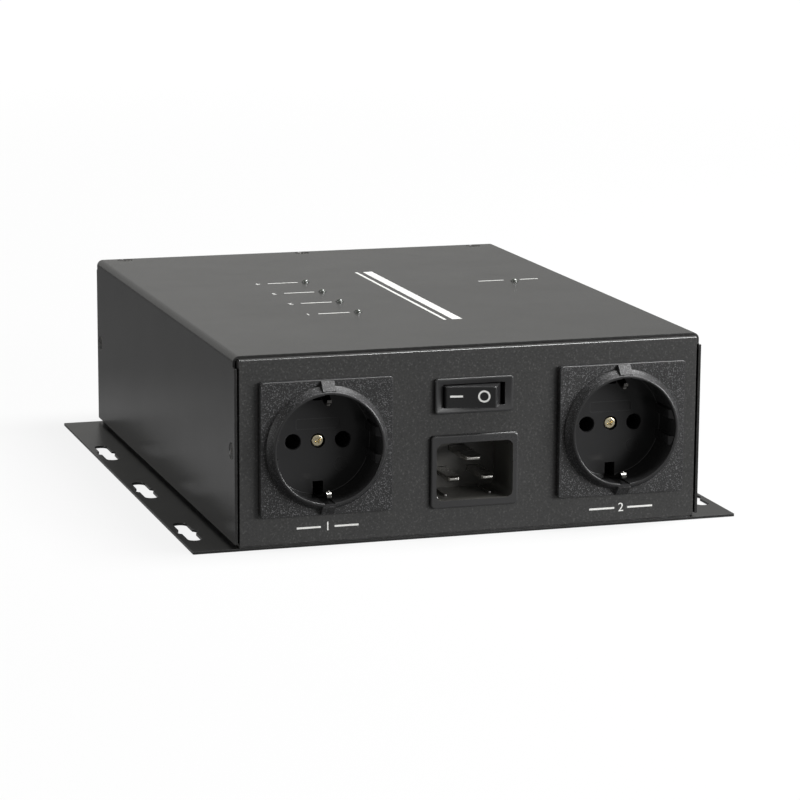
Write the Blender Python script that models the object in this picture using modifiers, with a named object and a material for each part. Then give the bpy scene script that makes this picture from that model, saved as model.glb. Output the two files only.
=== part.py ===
"""A mains power distribution unit for a stage rig.

A bent chassis tray holds the front and rear panels and lies on a flat base plate with slotted
flanges. A U-shaped cover goes over both. Two outlets, the inlet and the rocker switch sit in the
front panel, two more outlets in the rear panel. A board on four posts carries the lamps.
Metres, +Z up. The front faces -Y. The origin is under the middle of the base plate.
"""

import math

import bmesh
import bpy
from mathutils import Matrix, Vector
from mathutils.geometry import interpolate_bezier

# Space between pieces that rest on each other or pass through each other
CLEARANCE = 0.0003

# Cover: the top and both sides, one bent sheet
COVER_WIDTH = 0.180
COVER_DEPTH = 0.235
COVER_SHEET = 0.0010
COVER_BEND_INSIDE = 0.0015
FRONT_SET_BACK = 0.0022
REAR_SET_BACK = 0.0008
CORNER_RELIEF = 0.0042
COVER_FOOT = 0.0024

# Height from the base plate's underside to the cover's top
UNIT_HEIGHT = 0.0713

# Base plate: flat, with a flange on each side
PLATE_SHEET = 0.0010
PLATE_FLANGE = 0.0155
PLATE_REAR_STEP = 0.001
PLATE_CORNER = 0.0006

# Keyhole slots in the flanges
SLOT_COUNT = 3
SLOT_PITCH = 0.0701
SLOT_LENGTH = 0.028
SLOT_WIDTH = 0.0052
SLOT_EYE = 0.008
SLOT_FIRST = 0.0305
SLOT_INSET = 0.0052

# Chassis tray: panels, floor, lips and side flanges, one bent sheet
TRAY_SHEET = 0.0012
TRAY_BEND_INSIDE = 0.0006
TRAY_SIDE_GAP = 0.0007
TRAY_LIP = 0.014
TRAY_FLANGE = 0.012
TRAY_NOTCH = 0.0004

# Outlets, two in each panel; their flanges keep an edge to the cover's sides
OUTLET_EDGE = 0.0080
OUTLET_OFFSET = 0.0010
OUTLET_HEIGHT = 0.0369
OUTLET_PLATE = 0.0498
OUTLET_PLATE_CORNER = 0.0012
OUTLET_PROUD = 0.0023
OUTLET_RIM_PROUD = 0.0061
OUTLET_WELL_RADIUS = 0.0199
OUTLET_WALL = 0.0011
OUTLET_COLLAR_FOOT = 0.0234
OUTLET_WELL_DEPTH = 0.0161
OUTLET_BODY_DEPTH = 0.026
PIN_SPACING = 0.019
PIN_HOLE = 0.0056
PIN_HOLE_DEPTH = 0.0205
RIB_START = 0.0034
RIB_END = 0.0066
RIB_REACH = 0.0019
RIB_STEP = 0.0011
RAMP_WIDTH = 0.0048
EARTH_SLOT_START = 0.0150

# Earth clip: a sprung strip bent round behind the outlet
CLIP_WIDTH = 0.0034
CLIP_SHEET = 0.0008
CLIP_NOSE = 0.0157
CLIP_NOSE_BACK = 0.0026
CLIP_TIP_BACK = 0.0009
CLIP_TIP_SPREAD = 0.0018
CLIP_SPRING_LENGTH = 0.008

# Screw in the middle of each outlet
OUTLET_SCREW_HEAD = 0.0044
OUTLET_SCREW_SHANK = 0.0029
OUTLET_SCREW_LENGTH = 0.012
OUTLET_SCREW_HEAD_HEIGHT = 0.0014
OUTLET_RECESS_GAP = 0.0006

# Mains inlet
INLET_ACROSS = 0.0006
INLET_HEIGHT = 0.02475
INLET_FRAME_WIDTH = 0.0340
INLET_FRAME_HEIGHT = 0.0274
INLET_OPENING_WIDTH = 0.0296
INLET_OPENING_HEIGHT = 0.0216
INLET_CORNER = 0.0025
INLET_WALL = 0.0010
INLET_PROUD = 0.0015
INLET_DEPTH = 0.020
INLET_BACK = 0.004
BLADE_THICKNESS = 0.002
BLADE_TIP = 0.00066
BLADE_TAIL = 0.009
LIVE_BLADE_WIDTH = 0.005
LIVE_BLADE_SPACING = 0.013
LIVE_BLADE_DROP = 0.0038
LIVE_BLADE_SET_BACK = 0.0024
EARTH_BLADE_WIDTH = 0.0063
EARTH_BLADE_RISE = 0.00425
EARTH_BLADE_FORWARD = 0.0003

# Switch
SWITCH_ACROSS = 0.0002
SWITCH_HEIGHT = 0.0530
SWITCH_FRAME_WIDTH = 0.0302
SWITCH_FRAME_HEIGHT = 0.0132
SWITCH_FRAME_CORNER = 0.0012
SWITCH_PROUD = 0.0015
SWITCH_WINDOW_WIDTH = 0.0238
SWITCH_BODY_DEPTH = 0.024
SWITCH_BODY_WALL = 0.0018
SWITCH_BODY_END = 0.0021

# Rocker, at its neutral position, about its pivot
ROCKER_HALF_LENGTH = 0.00925
ROCKER_FACE = 0.0103
ROCKER_DISH = 0.0005
ROCKER_FLARE_HALF = 0.0111
ROCKER_FLARE_AT = 0.003
ROCKER_BACK_HALF = 0.0085
ROCKER_BACK = 0.0015
ROCKER_HEIGHT = 0.0080
ROCKER_TILT = 15.0
PIVOT_BEHIND_PANEL = 0.00445
PIVOT_RADIUS = 0.0012
PIVOT_PIN = 0.0010

# Lamps: the row of port lamps from the cover's left side, the on-line lamp from its right side
LAMP_COUNT = 4
LAMP_PITCH = 0.0249
LAMP_FIRST = 0.0793
LAMP_ROW_IN = 0.0699
ONLINE_LAMP_IN = 0.0265
ONLINE_LAMP_BACK = 0.1337
LAMP_HOLE = 0.0034
LAMP_DIAMETER = 0.0030
LAMP_FLANGE = 0.0036
LAMP_FLANGE_HEIGHT = 0.001
LAMP_LENGTH = 0.0074
LAMP_RISE = 0.0012

# Countersunk screws, in the cover and in the base plate
SCREW_HEAD = 0.0056
SCREW_SUNK = 0.0001
SCREW_DIAMETER = 0.003
COVER_SCREW_LENGTH = 0.006
SIDE_SCREW_HEIGHT = 0.0362
SIDE_SCREW_FRONT = 0.0048
SIDE_SCREW_REAR = 0.0060
TOP_SCREW_REAR = 0.0044
TOP_SCREW_IN = 0.0114
DRIVE_WIDTH = 0.0008
DRIVE_LENGTH = 0.0030
DRIVE_DEPTH = 0.0009
DRIVE_FLARE = 1.3
DRIVE_SHARE = 0.33

# Control board, its posts and the screws that hold them from below
BOARD_SHEET = 0.0016
BOARD_MARGIN_ACROSS = 0.013
BOARD_MARGIN_ALONG = 0.020
POST_INSET = 0.005
POST_RADIUS = 0.0035
POST_TIP_RADIUS = 0.0015
POST_TIP_ABOVE = 0.0015
POST_BORE_DEPTH = 0.009
BASE_SCREW_LENGTH = 0.010

# Under the board
RELAY_SIZE = Vector((0.028, 0.0128, 0.0157))
BLOCK_SIZE = Vector((0.036, 0.030, 0.0140))
MODULE_SIZE = Vector((0.028, 0.040, 0.0160))
COMPONENT_GAP = 0.004
BLOCK_ENTRY_PITCH = 0.009
OUTER_ENTRY = 1.5
INNER_ENTRY = 0.5
BLOCK_SCREW = 0.0045
BLOCK_SCREW_DEPTH = 0.002

# Wiring
WIRE_RADIUS = 0.0015
LEAD_RADIUS = 0.0032
WIRE_STUB = 0.010
LEAD_ASIDE = 0.012
STUD_RADIUS = 0.002
STUD_NUT_RADIUS = 0.0040
STUD_NUT_HEIGHT = 0.0045
STUD_HEIGHT = 0.012
STUD_BACK = 0.062
WIRE_SAMPLES = 4

# Routes: the shares of the way across, along and up that a wire has gone at each of its bends
LEAD_ROUTE = ((0.5, 0.1, 0.36), (0.96, 0.46, 0.76), (1, 0.72, 1))
SWITCH_WIRE_ROUTE = ((0.6, 0.4, 0.5), (1, 0.75, 1))
INLET_WIRE_STUB = 0.007
INLET_WIRE_TURN = 0.014
INLET_WIRE_RETURN = 0.003
INLET_WIRE_RISE = 0.45
EARTH_WIRE_STUB = 0.008
EARTH_WIRE_TURN = 0.012
EARTH_WIRE_DROP = 0.5
EARTH_WIRE_END = 0.006

# Facets round a full turn
FINE_STEPS = 32
ROUND_STEPS = 20
SMALL_STEPS = 12
CORNER_STEPS = 3
WELD_DISTANCE = 0.000001

# Finishes: colour, roughness and metallic value
POWDER_COAT = ((0.045, 0.045, 0.044), 0.55, 0.0)
PANEL_COAT = ((0.050, 0.050, 0.050), 0.55, 0.0)
MOULDING = ((0.022, 0.022, 0.023), 0.50, 0.0)
ROCKER_PLASTIC = ((0.020, 0.020, 0.021), 0.35, 0.0)
BRIGHT_METAL = ((0.78, 0.76, 0.72), 0.25, 1.0)
SCREW_METAL = ((0.60, 0.57, 0.50), 0.35, 1.0)
LAMP_LENS = ((0.10, 0.11, 0.10), 0.15, 0.0)
BOARD_GREEN = ((0.02, 0.14, 0.06), 0.45, 0.0)
RELAY_BLUE = ((0.02, 0.09, 0.30), 0.40, 0.0)
MODULE_BLACK = ((0.03, 0.03, 0.03), 0.60, 0.0)
BLOCK_GREEN = ((0.05, 0.22, 0.10), 0.50, 0.0)
POST_WHITE = ((0.70, 0.70, 0.67), 0.50, 0.0)
LEAD_BLACK = ((0.03, 0.03, 0.03), 0.60, 0.0)
LINE_BROWN = ((0.16, 0.06, 0.02), 0.50, 0.0)
NEUTRAL_BLUE = ((0.02, 0.10, 0.40), 0.50, 0.0)
EARTH_GREEN = ((0.10, 0.35, 0.04), 0.50, 0.0)

# Places that follow from the sizes
FRONT = -COVER_DEPTH / 2
REAR = COVER_DEPTH / 2
FLOOR = PLATE_SHEET + CLEARANCE
LID_UNDERSIDE = UNIT_HEIGHT - COVER_SHEET
TRAY_BEND = TRAY_BEND_INSIDE + TRAY_SHEET
TRAY_HALF = COVER_WIDTH / 2 - COVER_SHEET - TRAY_SIDE_GAP
OUTLET_PITCH = COVER_WIDTH - 2 * OUTLET_EDGE - OUTLET_PLATE
OUTLET_BODY_RADIUS = OUTLET_WELL_RADIUS + OUTLET_WALL
OUTLET_FLOOR = OUTLET_RIM_PROUD - OUTLET_WELL_DEPTH
OUTLET_BACK = OUTLET_FLOOR - OUTLET_BODY_DEPTH
INLET_BODY_WIDTH = INLET_OPENING_WIDTH + 2 * INLET_WALL
INLET_BODY_HEIGHT = INLET_OPENING_HEIGHT + 2 * INLET_WALL
INLET_BODY_END = INLET_DEPTH + INLET_BACK
SWITCH_WINDOW_HEIGHT = ROCKER_HEIGHT + 2 * CLEARANCE
SWITCH_BODY_WIDTH = SWITCH_WINDOW_WIDTH + 2 * SWITCH_BODY_END
SWITCH_BODY_HEIGHT = SWITCH_WINDOW_HEIGHT + 2 * SWITCH_BODY_WALL
SCREW_HOLE = SCREW_DIAMETER / 2 + CLEARANCE
LAMP_BASE = UNIT_HEIGHT + LAMP_RISE - LAMP_LENGTH
BOARD_TOP = LAMP_BASE - CLEARANCE
BOARD_BOTTOM = BOARD_TOP - BOARD_SHEET
HUNG_TOP = BOARD_BOTTOM - CLEARANCE
FLOOR_TOP = FLOOR + TRAY_SHEET

LAMP_PLACES = {
    f"lamp_{number + 1}": (LAMP_ROW_IN - COVER_WIDTH / 2, FRONT + LAMP_FIRST + number * LAMP_PITCH)
    for number in range(LAMP_COUNT)
}
LAMP_PLACES["lamp_online"] = (COVER_WIDTH / 2 - ONLINE_LAMP_IN, FRONT + ONLINE_LAMP_BACK)

BOARD_LOW = Vector((
    min(x for x, y in LAMP_PLACES.values()) - BOARD_MARGIN_ACROSS,
    min(y for x, y in LAMP_PLACES.values()) - BOARD_MARGIN_ALONG,
))
BOARD_HIGH = Vector((
    max(x for x, y in LAMP_PLACES.values()) + BOARD_MARGIN_ACROSS,
    max(y for x, y in LAMP_PLACES.values()) + BOARD_MARGIN_ALONG,
))
BOARD_MIDDLE = (BOARD_LOW + BOARD_HIGH) / 2
POST_PLACES = {
    f"{side}_{end}": (x, y)
    for side, x in (("left", BOARD_LOW.x + POST_INSET), ("right", BOARD_HIGH.x - POST_INSET))
    for end, y in (("front", BOARD_LOW.y + POST_INSET), ("rear", BOARD_HIGH.y - POST_INSET))
}


def start_empty():
    """Clears the scene and makes one collection for the unit and one for its cutters."""
    for old in list(bpy.data.objects):
        bpy.data.objects.remove(old, do_unlink=True)
    made = []
    for name in ("power_distribution_unit", "cutters"):
        collection = bpy.data.collections.new(name)
        bpy.context.scene.collection.children.link(collection)
        made.append(collection)
    return made


PARTS, CUTTERS = start_empty()


def material(name, finish):
    """A Principled material of the given colour, roughness and metallic value."""
    colour, roughness, metallic = finish
    made = bpy.data.materials.new(name)
    made.use_nodes = True
    shader = made.node_tree.nodes["Principled BSDF"]
    shader.inputs["Base Color"].default_value = (*colour, 1)
    shader.inputs["Roughness"].default_value = roughness
    shader.inputs["Metallic"].default_value = metallic
    made.diffuse_color = (*colour, 1)
    return made


def add_piece(name, data, finish, frame=Matrix()):
    """A piece of the unit in its own material, placed by its frame."""
    piece = bpy.data.objects.new(name, data)
    PARTS.objects.link(piece)
    piece.matrix_world = frame
    data.materials.append(material(name, finish))
    return piece


def shape_with(piece, name, mesh, operation, frame=Matrix()):
    """Cuts a piece with a mesh, or joins the mesh to it."""
    guide = bpy.data.objects.new(name, mesh)
    CUTTERS.objects.link(guide)
    guide.matrix_world = frame
    guide.hide_render = True
    guide.display_type = "WIRE"
    step = piece.modifiers.new(name, "BOOLEAN")
    step.operation = operation
    step.solver = "EXACT"
    step.object = guide


def mesh_of(name, bm):
    """A mesh from a finished bmesh."""
    mesh = bpy.data.meshes.new(name)
    bm.to_mesh(mesh)
    bm.free()
    return mesh


def solids(name, boxes=(), rods=(), steps=ROUND_STEPS):
    """Boxes between two corners and rods between two points, as one mesh."""
    bm = bmesh.new()
    for low, high in boxes:
        low, high = Vector(low), Vector(high)
        place = Matrix.Translation((low + high) / 2) @ Matrix.Diagonal((*(high - low), 1))
        bmesh.ops.create_cube(bm, size=1, matrix=place)
    for start, end, radius, end_radius in rods:
        along = Vector(end) - Vector(start)
        turn = along.to_track_quat("Z", "Y").to_matrix().to_4x4()
        place = Matrix.Translation((Vector(start) + Vector(end)) / 2) @ turn
        bmesh.ops.create_cone(
            bm, cap_ends=True, segments=steps, radius1=radius, radius2=end_radius,
            depth=along.length, matrix=place,
        )
    return mesh_of(name, bm)


def flat_solid(name, outlines, thickness, frame=Matrix()):
    """Closed outlines, filled between them, as a solid with the frame's XY plane at its middle."""
    curve = bpy.data.curves.new(name, "CURVE")
    curve.dimensions = "2D"
    curve.fill_mode = "BOTH"
    curve.extrude = thickness / 2
    for outline in outlines:
        spline = curve.splines.new("POLY")
        spline.points.add(len(outline) - 1)
        for point, (x, y) in zip(spline.points, outline):
            point.co = (x, y, 0, 1)
        spline.use_cyclic_u = True
    drawn = bpy.data.objects.new(name, curve)
    CUTTERS.objects.link(drawn)
    evaluated = drawn.evaluated_get(bpy.context.evaluated_depsgraph_get())
    mesh = bpy.data.meshes.new_from_object(evaluated)
    bpy.data.objects.remove(drawn)
    bm = bmesh.new()
    bm.from_mesh(mesh)
    bmesh.ops.remove_doubles(bm, verts=bm.verts, dist=WELD_DISTANCE)
    bm.to_mesh(mesh)
    bm.free()
    mesh.transform(frame)
    return mesh


def turned(name, profile, finish, frame=Matrix(), steps=ROUND_STEPS):
    """A piece turned about its own Z axis from a profile of radius and height."""
    bm = bmesh.new()
    points = [bm.verts.new((radius, 0, height)) for radius, height in profile]
    for above, below in zip(points, points[1:]):
        bm.edges.new((above, below))
    piece = add_piece(name, mesh_of(name, bm), finish, frame)
    turn = piece.modifiers.new("Turn", "SCREW")
    turn.steps = steps
    turn.render_steps = steps
    turn.use_merge_vertices = True
    turn.merge_threshold = WELD_DISTANCE
    turn.use_smooth_shade = False
    return piece


def arc(centre, radius, start, end, steps):
    """Points along an arc, angles in degrees."""
    angles = [math.radians(start + (end - start) * step / steps) for step in range(steps + 1)]
    return [
        (centre[0] + radius * math.cos(angle), centre[1] + radius * math.sin(angle))
        for angle in angles
    ]


def dome(radius, rise, base=0):
    """The profile of a dome from its top down to its rim."""
    quarter = arc((0, 0), 1, 90, 0, CORNER_STEPS)
    return [(0, base + rise)] + [(radius * across, base + rise * up) for across, up in quarter[1:]]


def rounded_rectangle(width, height, radius, centre=(0, 0)):
    """A rectangle with rounded corners."""
    across, up = width / 2 - radius, height / 2 - radius
    corners = ((across, up), (-across, up), (-across, -up), (across, -up))
    return [
        point
        for turn, (x, y) in enumerate(corners)
        for point in arc((centre[0] + x, centre[1] + y), radius, 90 * turn, 90 * turn + 90, CORNER_STEPS)
    ]


def circle(centre, radius, steps):
    """A round outline."""
    return arc(centre, radius, 0, 360, steps)[:-1]


def keyhole_slot(centre):
    """A slot along Y with round ends and a round eye at its middle."""
    x, y = centre
    half = SLOT_WIDTH / 2
    reach = SLOT_LENGTH / 2 - half
    eye = SLOT_EYE / 2
    spread = math.degrees(math.acos(half / eye)) if eye > half else 0
    outline = arc((x, y + reach), half, 0, 180, SMALL_STEPS // 2)
    outline += arc(centre, eye, 180 - spread, 180 + spread, CORNER_STEPS)
    outline += arc((x, y - reach), half, 180, 360, SMALL_STEPS // 2)
    outline += arc(centre, eye, -spread, spread, CORNER_STEPS)
    return outline


def panel_frame(across, height, rear=False):
    """The frame of a piece in a panel: X across, Y up and Z out of the panel."""
    place = Matrix.Translation((across, REAR if rear else FRONT, height))
    facing = Matrix.Rotation(math.pi, 4, "Z") if rear else Matrix()
    return place @ facing @ Matrix.Rotation(math.pi / 2, 4, "X")


def bent_sheet(name, low, high, planes, keep, bend, sheet, finish):
    """A box's surface cut at planes, with the faces that keep() names, bent and thickened inwards."""
    bm = bmesh.new()
    place = Matrix.Translation((low + high) / 2) @ Matrix.Diagonal((*(high - low), 1))
    bmesh.ops.create_cube(bm, size=1, matrix=place)
    for axis, value in planes:
        normal = Vector((0, 0, 0))
        normal[axis] = 1
        bmesh.ops.bisect_plane(
            bm, geom=bm.verts[:] + bm.edges[:] + bm.faces[:], plane_co=normal * value, plane_no=normal
        )
    dropped = [face for face in bm.faces if not keep(face.calc_center_median(), face.normal)]
    bmesh.ops.delete(bm, geom=dropped, context="FACES")
    bmesh.ops.dissolve_limit(bm, angle_limit=math.radians(1), verts=bm.verts, edges=bm.edges)
    bends = [edge for edge in bm.edges if len(edge.link_faces) == 2]
    bmesh.ops.bevel(
        bm, geom=bends, offset=bend, offset_type="OFFSET", segments=CORNER_STEPS,
        profile=0.5, affect="EDGES",
    )
    piece = add_piece(name, mesh_of(name, bm), finish)
    thicken = piece.modifiers.new("Sheet", "SOLIDIFY")
    thicken.thickness = sheet
    thicken.offset = -1
    thicken.use_even_offset = True
    return piece


def outlet_places():
    """Each outlet's name and the frame of its face, seen from its own side from left to right."""
    left = OUTLET_OFFSET - OUTLET_PITCH / 2
    right = OUTLET_OFFSET + OUTLET_PITCH / 2
    return {
        "outlet_1": panel_frame(left, OUTLET_HEIGHT),
        "outlet_2": panel_frame(right, OUTLET_HEIGHT),
        "outlet_3": panel_frame(right, OUTLET_HEIGHT, rear=True),
        "outlet_4": panel_frame(left, OUTLET_HEIGHT, rear=True),
    }


def side_screw_places():
    """Each side screw's name and frame, Z out of the side."""
    half = COVER_WIDTH / 2
    return {
        f"side_screw_{side}_{end}": Matrix.Translation((sign * half, y, SIDE_SCREW_HEIGHT))
        @ Matrix.Rotation(sign * math.pi / 2, 4, "Y")
        for side, sign in (("left", -1), ("right", 1))
        for end, y in (("front", FRONT + SIDE_SCREW_FRONT), ("rear", REAR - SIDE_SCREW_REAR))
    }


def top_screw_places():
    """Each top screw's name and frame, Z up."""
    spread = COVER_WIDTH / 2 - TOP_SCREW_IN
    return {
        f"top_screw_{side}": Matrix.Translation((sign * spread, REAR - TOP_SCREW_REAR, UNIT_HEIGHT))
        for side, sign in (("left", -1), ("middle", 0), ("right", 1))
    }


def cover_screw_places():
    """Every screw of the cover."""
    return side_screw_places() | top_screw_places()


def base_screw_places():
    """Each base screw's name and frame, Z down."""
    return {
        f"base_screw_{place}": Matrix.Translation((x, y, 0)) @ Matrix.Rotation(math.pi, 4, "X")
        for place, (x, y) in POST_PLACES.items()
    }


def straight_holes(name, frames, reach):
    """Cutters round screws' shanks, reaching some way into the unit from its outside."""
    rods = [
        (frame @ Vector((0, 0, CLEARANCE)), frame @ Vector((0, 0, -reach)), SCREW_HOLE, SCREW_HOLE)
        for frame in frames
    ]
    return solids(name, rods=rods, steps=SMALL_STEPS)


def countersinks(name, frames, sheet):
    """Cutters round screws' heads in an outer sheet."""
    head = SCREW_HEAD / 2 + 2 * CLEARANCE
    rods = [
        (frame @ Vector((0, 0, CLEARANCE)), frame @ Vector((0, 0, -sheet - CLEARANCE)),
         head + CLEARANCE, head - sheet - CLEARANCE)
        for frame in frames
    ]
    return solids(name, rods=rods, steps=SMALL_STEPS)


def base_plate():
    """The flat plate under the unit, with three keyhole slots in each flange."""
    width = COVER_WIDTH + 2 * PLATE_FLANGE
    depth = COVER_DEPTH - PLATE_REAR_STEP
    middle = FRONT + depth / 2
    outline = rounded_rectangle(width, depth, PLATE_CORNER, (0, middle))
    slots = [
        keyhole_slot((side * (width / 2 - SLOT_INSET), FRONT + SLOT_FIRST + number * SLOT_PITCH))
        for side in (-1, 1)
        for number in range(SLOT_COUNT)
    ]
    frame = Matrix.Translation((0, 0, PLATE_SHEET / 2))
    sheet = flat_solid("base_plate", [outline, *slots], PLATE_SHEET, frame)
    plate = add_piece("base_plate", sheet, POWDER_COAT)
    sinks = countersinks("base_countersinks", base_screw_places().values(), PLATE_SHEET)
    shape_with(plate, "base_countersinks", sinks, "DIFFERENCE")


def chassis_tray():
    """Front panel, floor and rear panel in one bent sheet, with lips and side flanges."""
    notch = TRAY_BEND + TRAY_NOTCH
    low = Vector((-TRAY_HALF, FRONT, FLOOR))
    high = Vector((TRAY_HALF, REAR, LID_UNDERSIDE - CLEARANCE))
    planes = [(0, side * (TRAY_HALF - notch)) for side in (-1, 1)]
    planes += [(1, side * (REAR - TRAY_FLANGE)) for side in (-1, 1)]
    planes += [(1, side * (REAR - TRAY_LIP)) for side in (-1, 1)]
    planes += [(2, low.z + notch), (2, high.z - notch)]

    def keep(centre, normal):
        between = abs(centre.x) < TRAY_HALF - notch
        flange_height = low.z + notch < centre.z < high.z - notch
        if abs(normal.y) > 0.5:
            return between or flange_height
        if abs(normal.x) > 0.5:
            return flange_height and abs(centre.y) > REAR - TRAY_FLANGE
        return between and (normal.z < 0 or abs(centre.y) > REAR - TRAY_LIP)

    tray = bent_sheet("chassis_tray", low, high, planes, keep, TRAY_BEND, TRAY_SHEET, PANEL_COAT)
    through = TRAY_BEND
    openings = []
    for name, frame in outlet_places().items():
        hole = circle((0, 0), OUTLET_BODY_RADIUS + CLEARANCE, FINE_STEPS)
        openings.append((f"{name}_hole", hole, frame))
    inlet = rounded_rectangle(
        INLET_BODY_WIDTH + 2 * CLEARANCE, INLET_BODY_HEIGHT + 2 * CLEARANCE, INLET_CORNER
    )
    openings.append(("inlet_hole", inlet, panel_frame(INLET_ACROSS, INLET_HEIGHT)))
    switch = rounded_rectangle(
        SWITCH_BODY_WIDTH + 2 * CLEARANCE, SWITCH_BODY_HEIGHT + 2 * CLEARANCE, SWITCH_FRAME_CORNER
    )
    openings.append(("switch_hole", switch, panel_frame(SWITCH_ACROSS, SWITCH_HEIGHT)))
    for name, outline, frame in openings:
        shape_with(tray, name, flat_solid(name, [outline], 2 * through), "DIFFERENCE", frame)
    frames = [*cover_screw_places().values(), *base_screw_places().values()]
    holes = straight_holes("tray_screw_holes", frames, COVER_SCREW_LENGTH)
    shape_with(tray, "tray_screw_holes", holes, "DIFFERENCE")


def cover():
    """The top and both sides in one bent sheet, its top edges set back at the front and the rear."""
    low = Vector((-COVER_WIDTH / 2, FRONT, COVER_FOOT))
    high = Vector((COVER_WIDTH / 2, REAR, UNIT_HEIGHT))

    def keep(centre, normal):
        return abs(normal.x) > 0.5 or normal.z > 0.5

    bend = COVER_BEND_INSIDE + COVER_SHEET
    lid = bent_sheet("cover", low, high, [], keep, bend, COVER_SHEET, POWDER_COAT)
    edges = [
        ((-COVER_WIDTH, edge - set_back, UNIT_HEIGHT - CORNER_RELIEF),
         (COVER_WIDTH, edge + set_back, UNIT_HEIGHT + CORNER_RELIEF))
        for edge, set_back in ((FRONT, FRONT_SET_BACK), (REAR, REAR_SET_BACK))
    ]
    shape_with(lid, "top_edges", solids("top_edges", boxes=edges), "DIFFERENCE")
    lamp_holes = [
        ((x, y, LID_UNDERSIDE - COVER_SHEET), (x, y, UNIT_HEIGHT + COVER_SHEET), LAMP_HOLE / 2, LAMP_HOLE / 2)
        for x, y in LAMP_PLACES.values()
    ]
    shape_with(lid, "lamp_holes", solids("lamp_holes", rods=lamp_holes, steps=SMALL_STEPS), "DIFFERENCE")
    sinks = countersinks("cover_countersinks", cover_screw_places().values(), COVER_SHEET)
    shape_with(lid, "cover_countersinks", sinks, "DIFFERENCE")


def outlet_housing(name, frame):
    """Square flange, round well with a flared collar, and contact body, in one moulding."""
    rim = OUTLET_RIM_PROUD
    inside_plate = OUTLET_PROUD / 2
    profile = (
        (0, OUTLET_FLOOR),
        (OUTLET_WELL_RADIUS, OUTLET_FLOOR),
        (OUTLET_WELL_RADIUS, rim),
        (OUTLET_BODY_RADIUS, rim),
        (OUTLET_COLLAR_FOOT, inside_plate),
        (OUTLET_BODY_RADIUS, inside_plate),
        (OUTLET_BODY_RADIUS, OUTLET_BACK),
        (0, OUTLET_BACK),
    )
    housing = turned(f"{name}_housing", profile, MOULDING, frame, FINE_STEPS)

    square = rounded_rectangle(OUTLET_PLATE, OUTLET_PLATE, OUTLET_PLATE_CORNER)
    ring = circle((0, 0), OUTLET_BODY_RADIUS - OUTLET_WALL / 2, FINE_STEPS)
    middle = Matrix.Translation((0, 0, (OUTLET_PROUD + CLEARANCE) / 2))
    plate = flat_solid(f"{name}_plate", [square, ring], OUTLET_PROUD - CLEARANCE, middle)
    shape_with(housing, f"{name}_plate", plate, "UNION", frame)

    inner = OUTLET_WELL_RADIUS + CLEARANCE
    wedge = [
        (inner, CLEARANCE * 2),
        (OUTLET_PLATE / 2 - CLEARANCE, CLEARANCE * 2),
        (OUTLET_PLATE / 2 - CLEARANCE, OUTLET_PROUD),
        (OUTLET_BODY_RADIUS + CLEARANCE, rim - CLEARANCE),
        (inner, rim - CLEARANCE),
    ]
    upright = Matrix.Rotation(math.pi / 2, 4, "Z") @ Matrix.Rotation(math.pi / 2, 4, "X")
    for side, turn in (("upper", 0), ("lower", math.pi)):
        ramp = flat_solid(f"{name}_{side}_ramp", [wedge], RAMP_WIDTH, Matrix.Rotation(turn, 4, "Z") @ upright)
        shape_with(housing, f"{name}_{side}_ramp", ramp, "UNION", frame)

    ribs = []
    rib_outer = math.sqrt(OUTLET_BODY_RADIUS ** 2 - RIB_END ** 2) - CLEARANCE
    for side in (-1, 1):
        edges = sorted((side * (OUTLET_WELL_RADIUS - RIB_REACH), side * rib_outer))
        for start, end in ((-RIB_END, -RIB_START), (RIB_START, RIB_END)):
            ribs.append((
                (edges[0], start, OUTLET_FLOOR - RIB_STEP),
                (edges[1], end, rim - RIB_STEP),
            ))
    shape_with(housing, f"{name}_ribs", solids(f"{name}_ribs", boxes=ribs), "UNION", frame)

    slot = CLIP_WIDTH / 2 + CLEARANCE
    slot_end = OUTLET_WELL_RADIUS + CLEARANCE
    slots = [
        ((-slot, -slot_end, OUTLET_BACK - rim), (slot, -EARTH_SLOT_START, 2 * rim)),
        ((-slot, EARTH_SLOT_START, OUTLET_BACK - rim), (slot, slot_end, 2 * rim)),
    ]
    holes = [
        ((side * PIN_SPACING / 2, 0, 0), (side * PIN_SPACING / 2, 0, OUTLET_FLOOR - PIN_HOLE_DEPTH),
         PIN_HOLE / 2, PIN_HOLE / 2)
        for side in (-1, 1)
    ]
    recess = OUTLET_SCREW_HEAD / 2 + OUTLET_RECESS_GAP
    sunk = OUTLET_FLOOR - OUTLET_SCREW_HEAD_HEIGHT - 2 * CLEARANCE
    holes.append(((0, 0, 0), (0, 0, sunk), recess, recess))
    cuts = solids(f"{name}_cuts", boxes=slots, rods=holes, steps=SMALL_STEPS)
    shape_with(housing, f"{name}_cuts", cuts, "DIFFERENCE", frame)
    bore = OUTLET_SCREW_SHANK / 2 + CLEARANCE
    bore_end = sunk - OUTLET_SCREW_LENGTH
    bores = [((0, 0, 0), (0, 0, bore_end), bore, bore)]
    screw_bore = solids(f"{name}_screw_bore", rods=bores, steps=SMALL_STEPS)
    shape_with(housing, f"{name}_screw_bore", screw_bore, "DIFFERENCE", frame)


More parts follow.
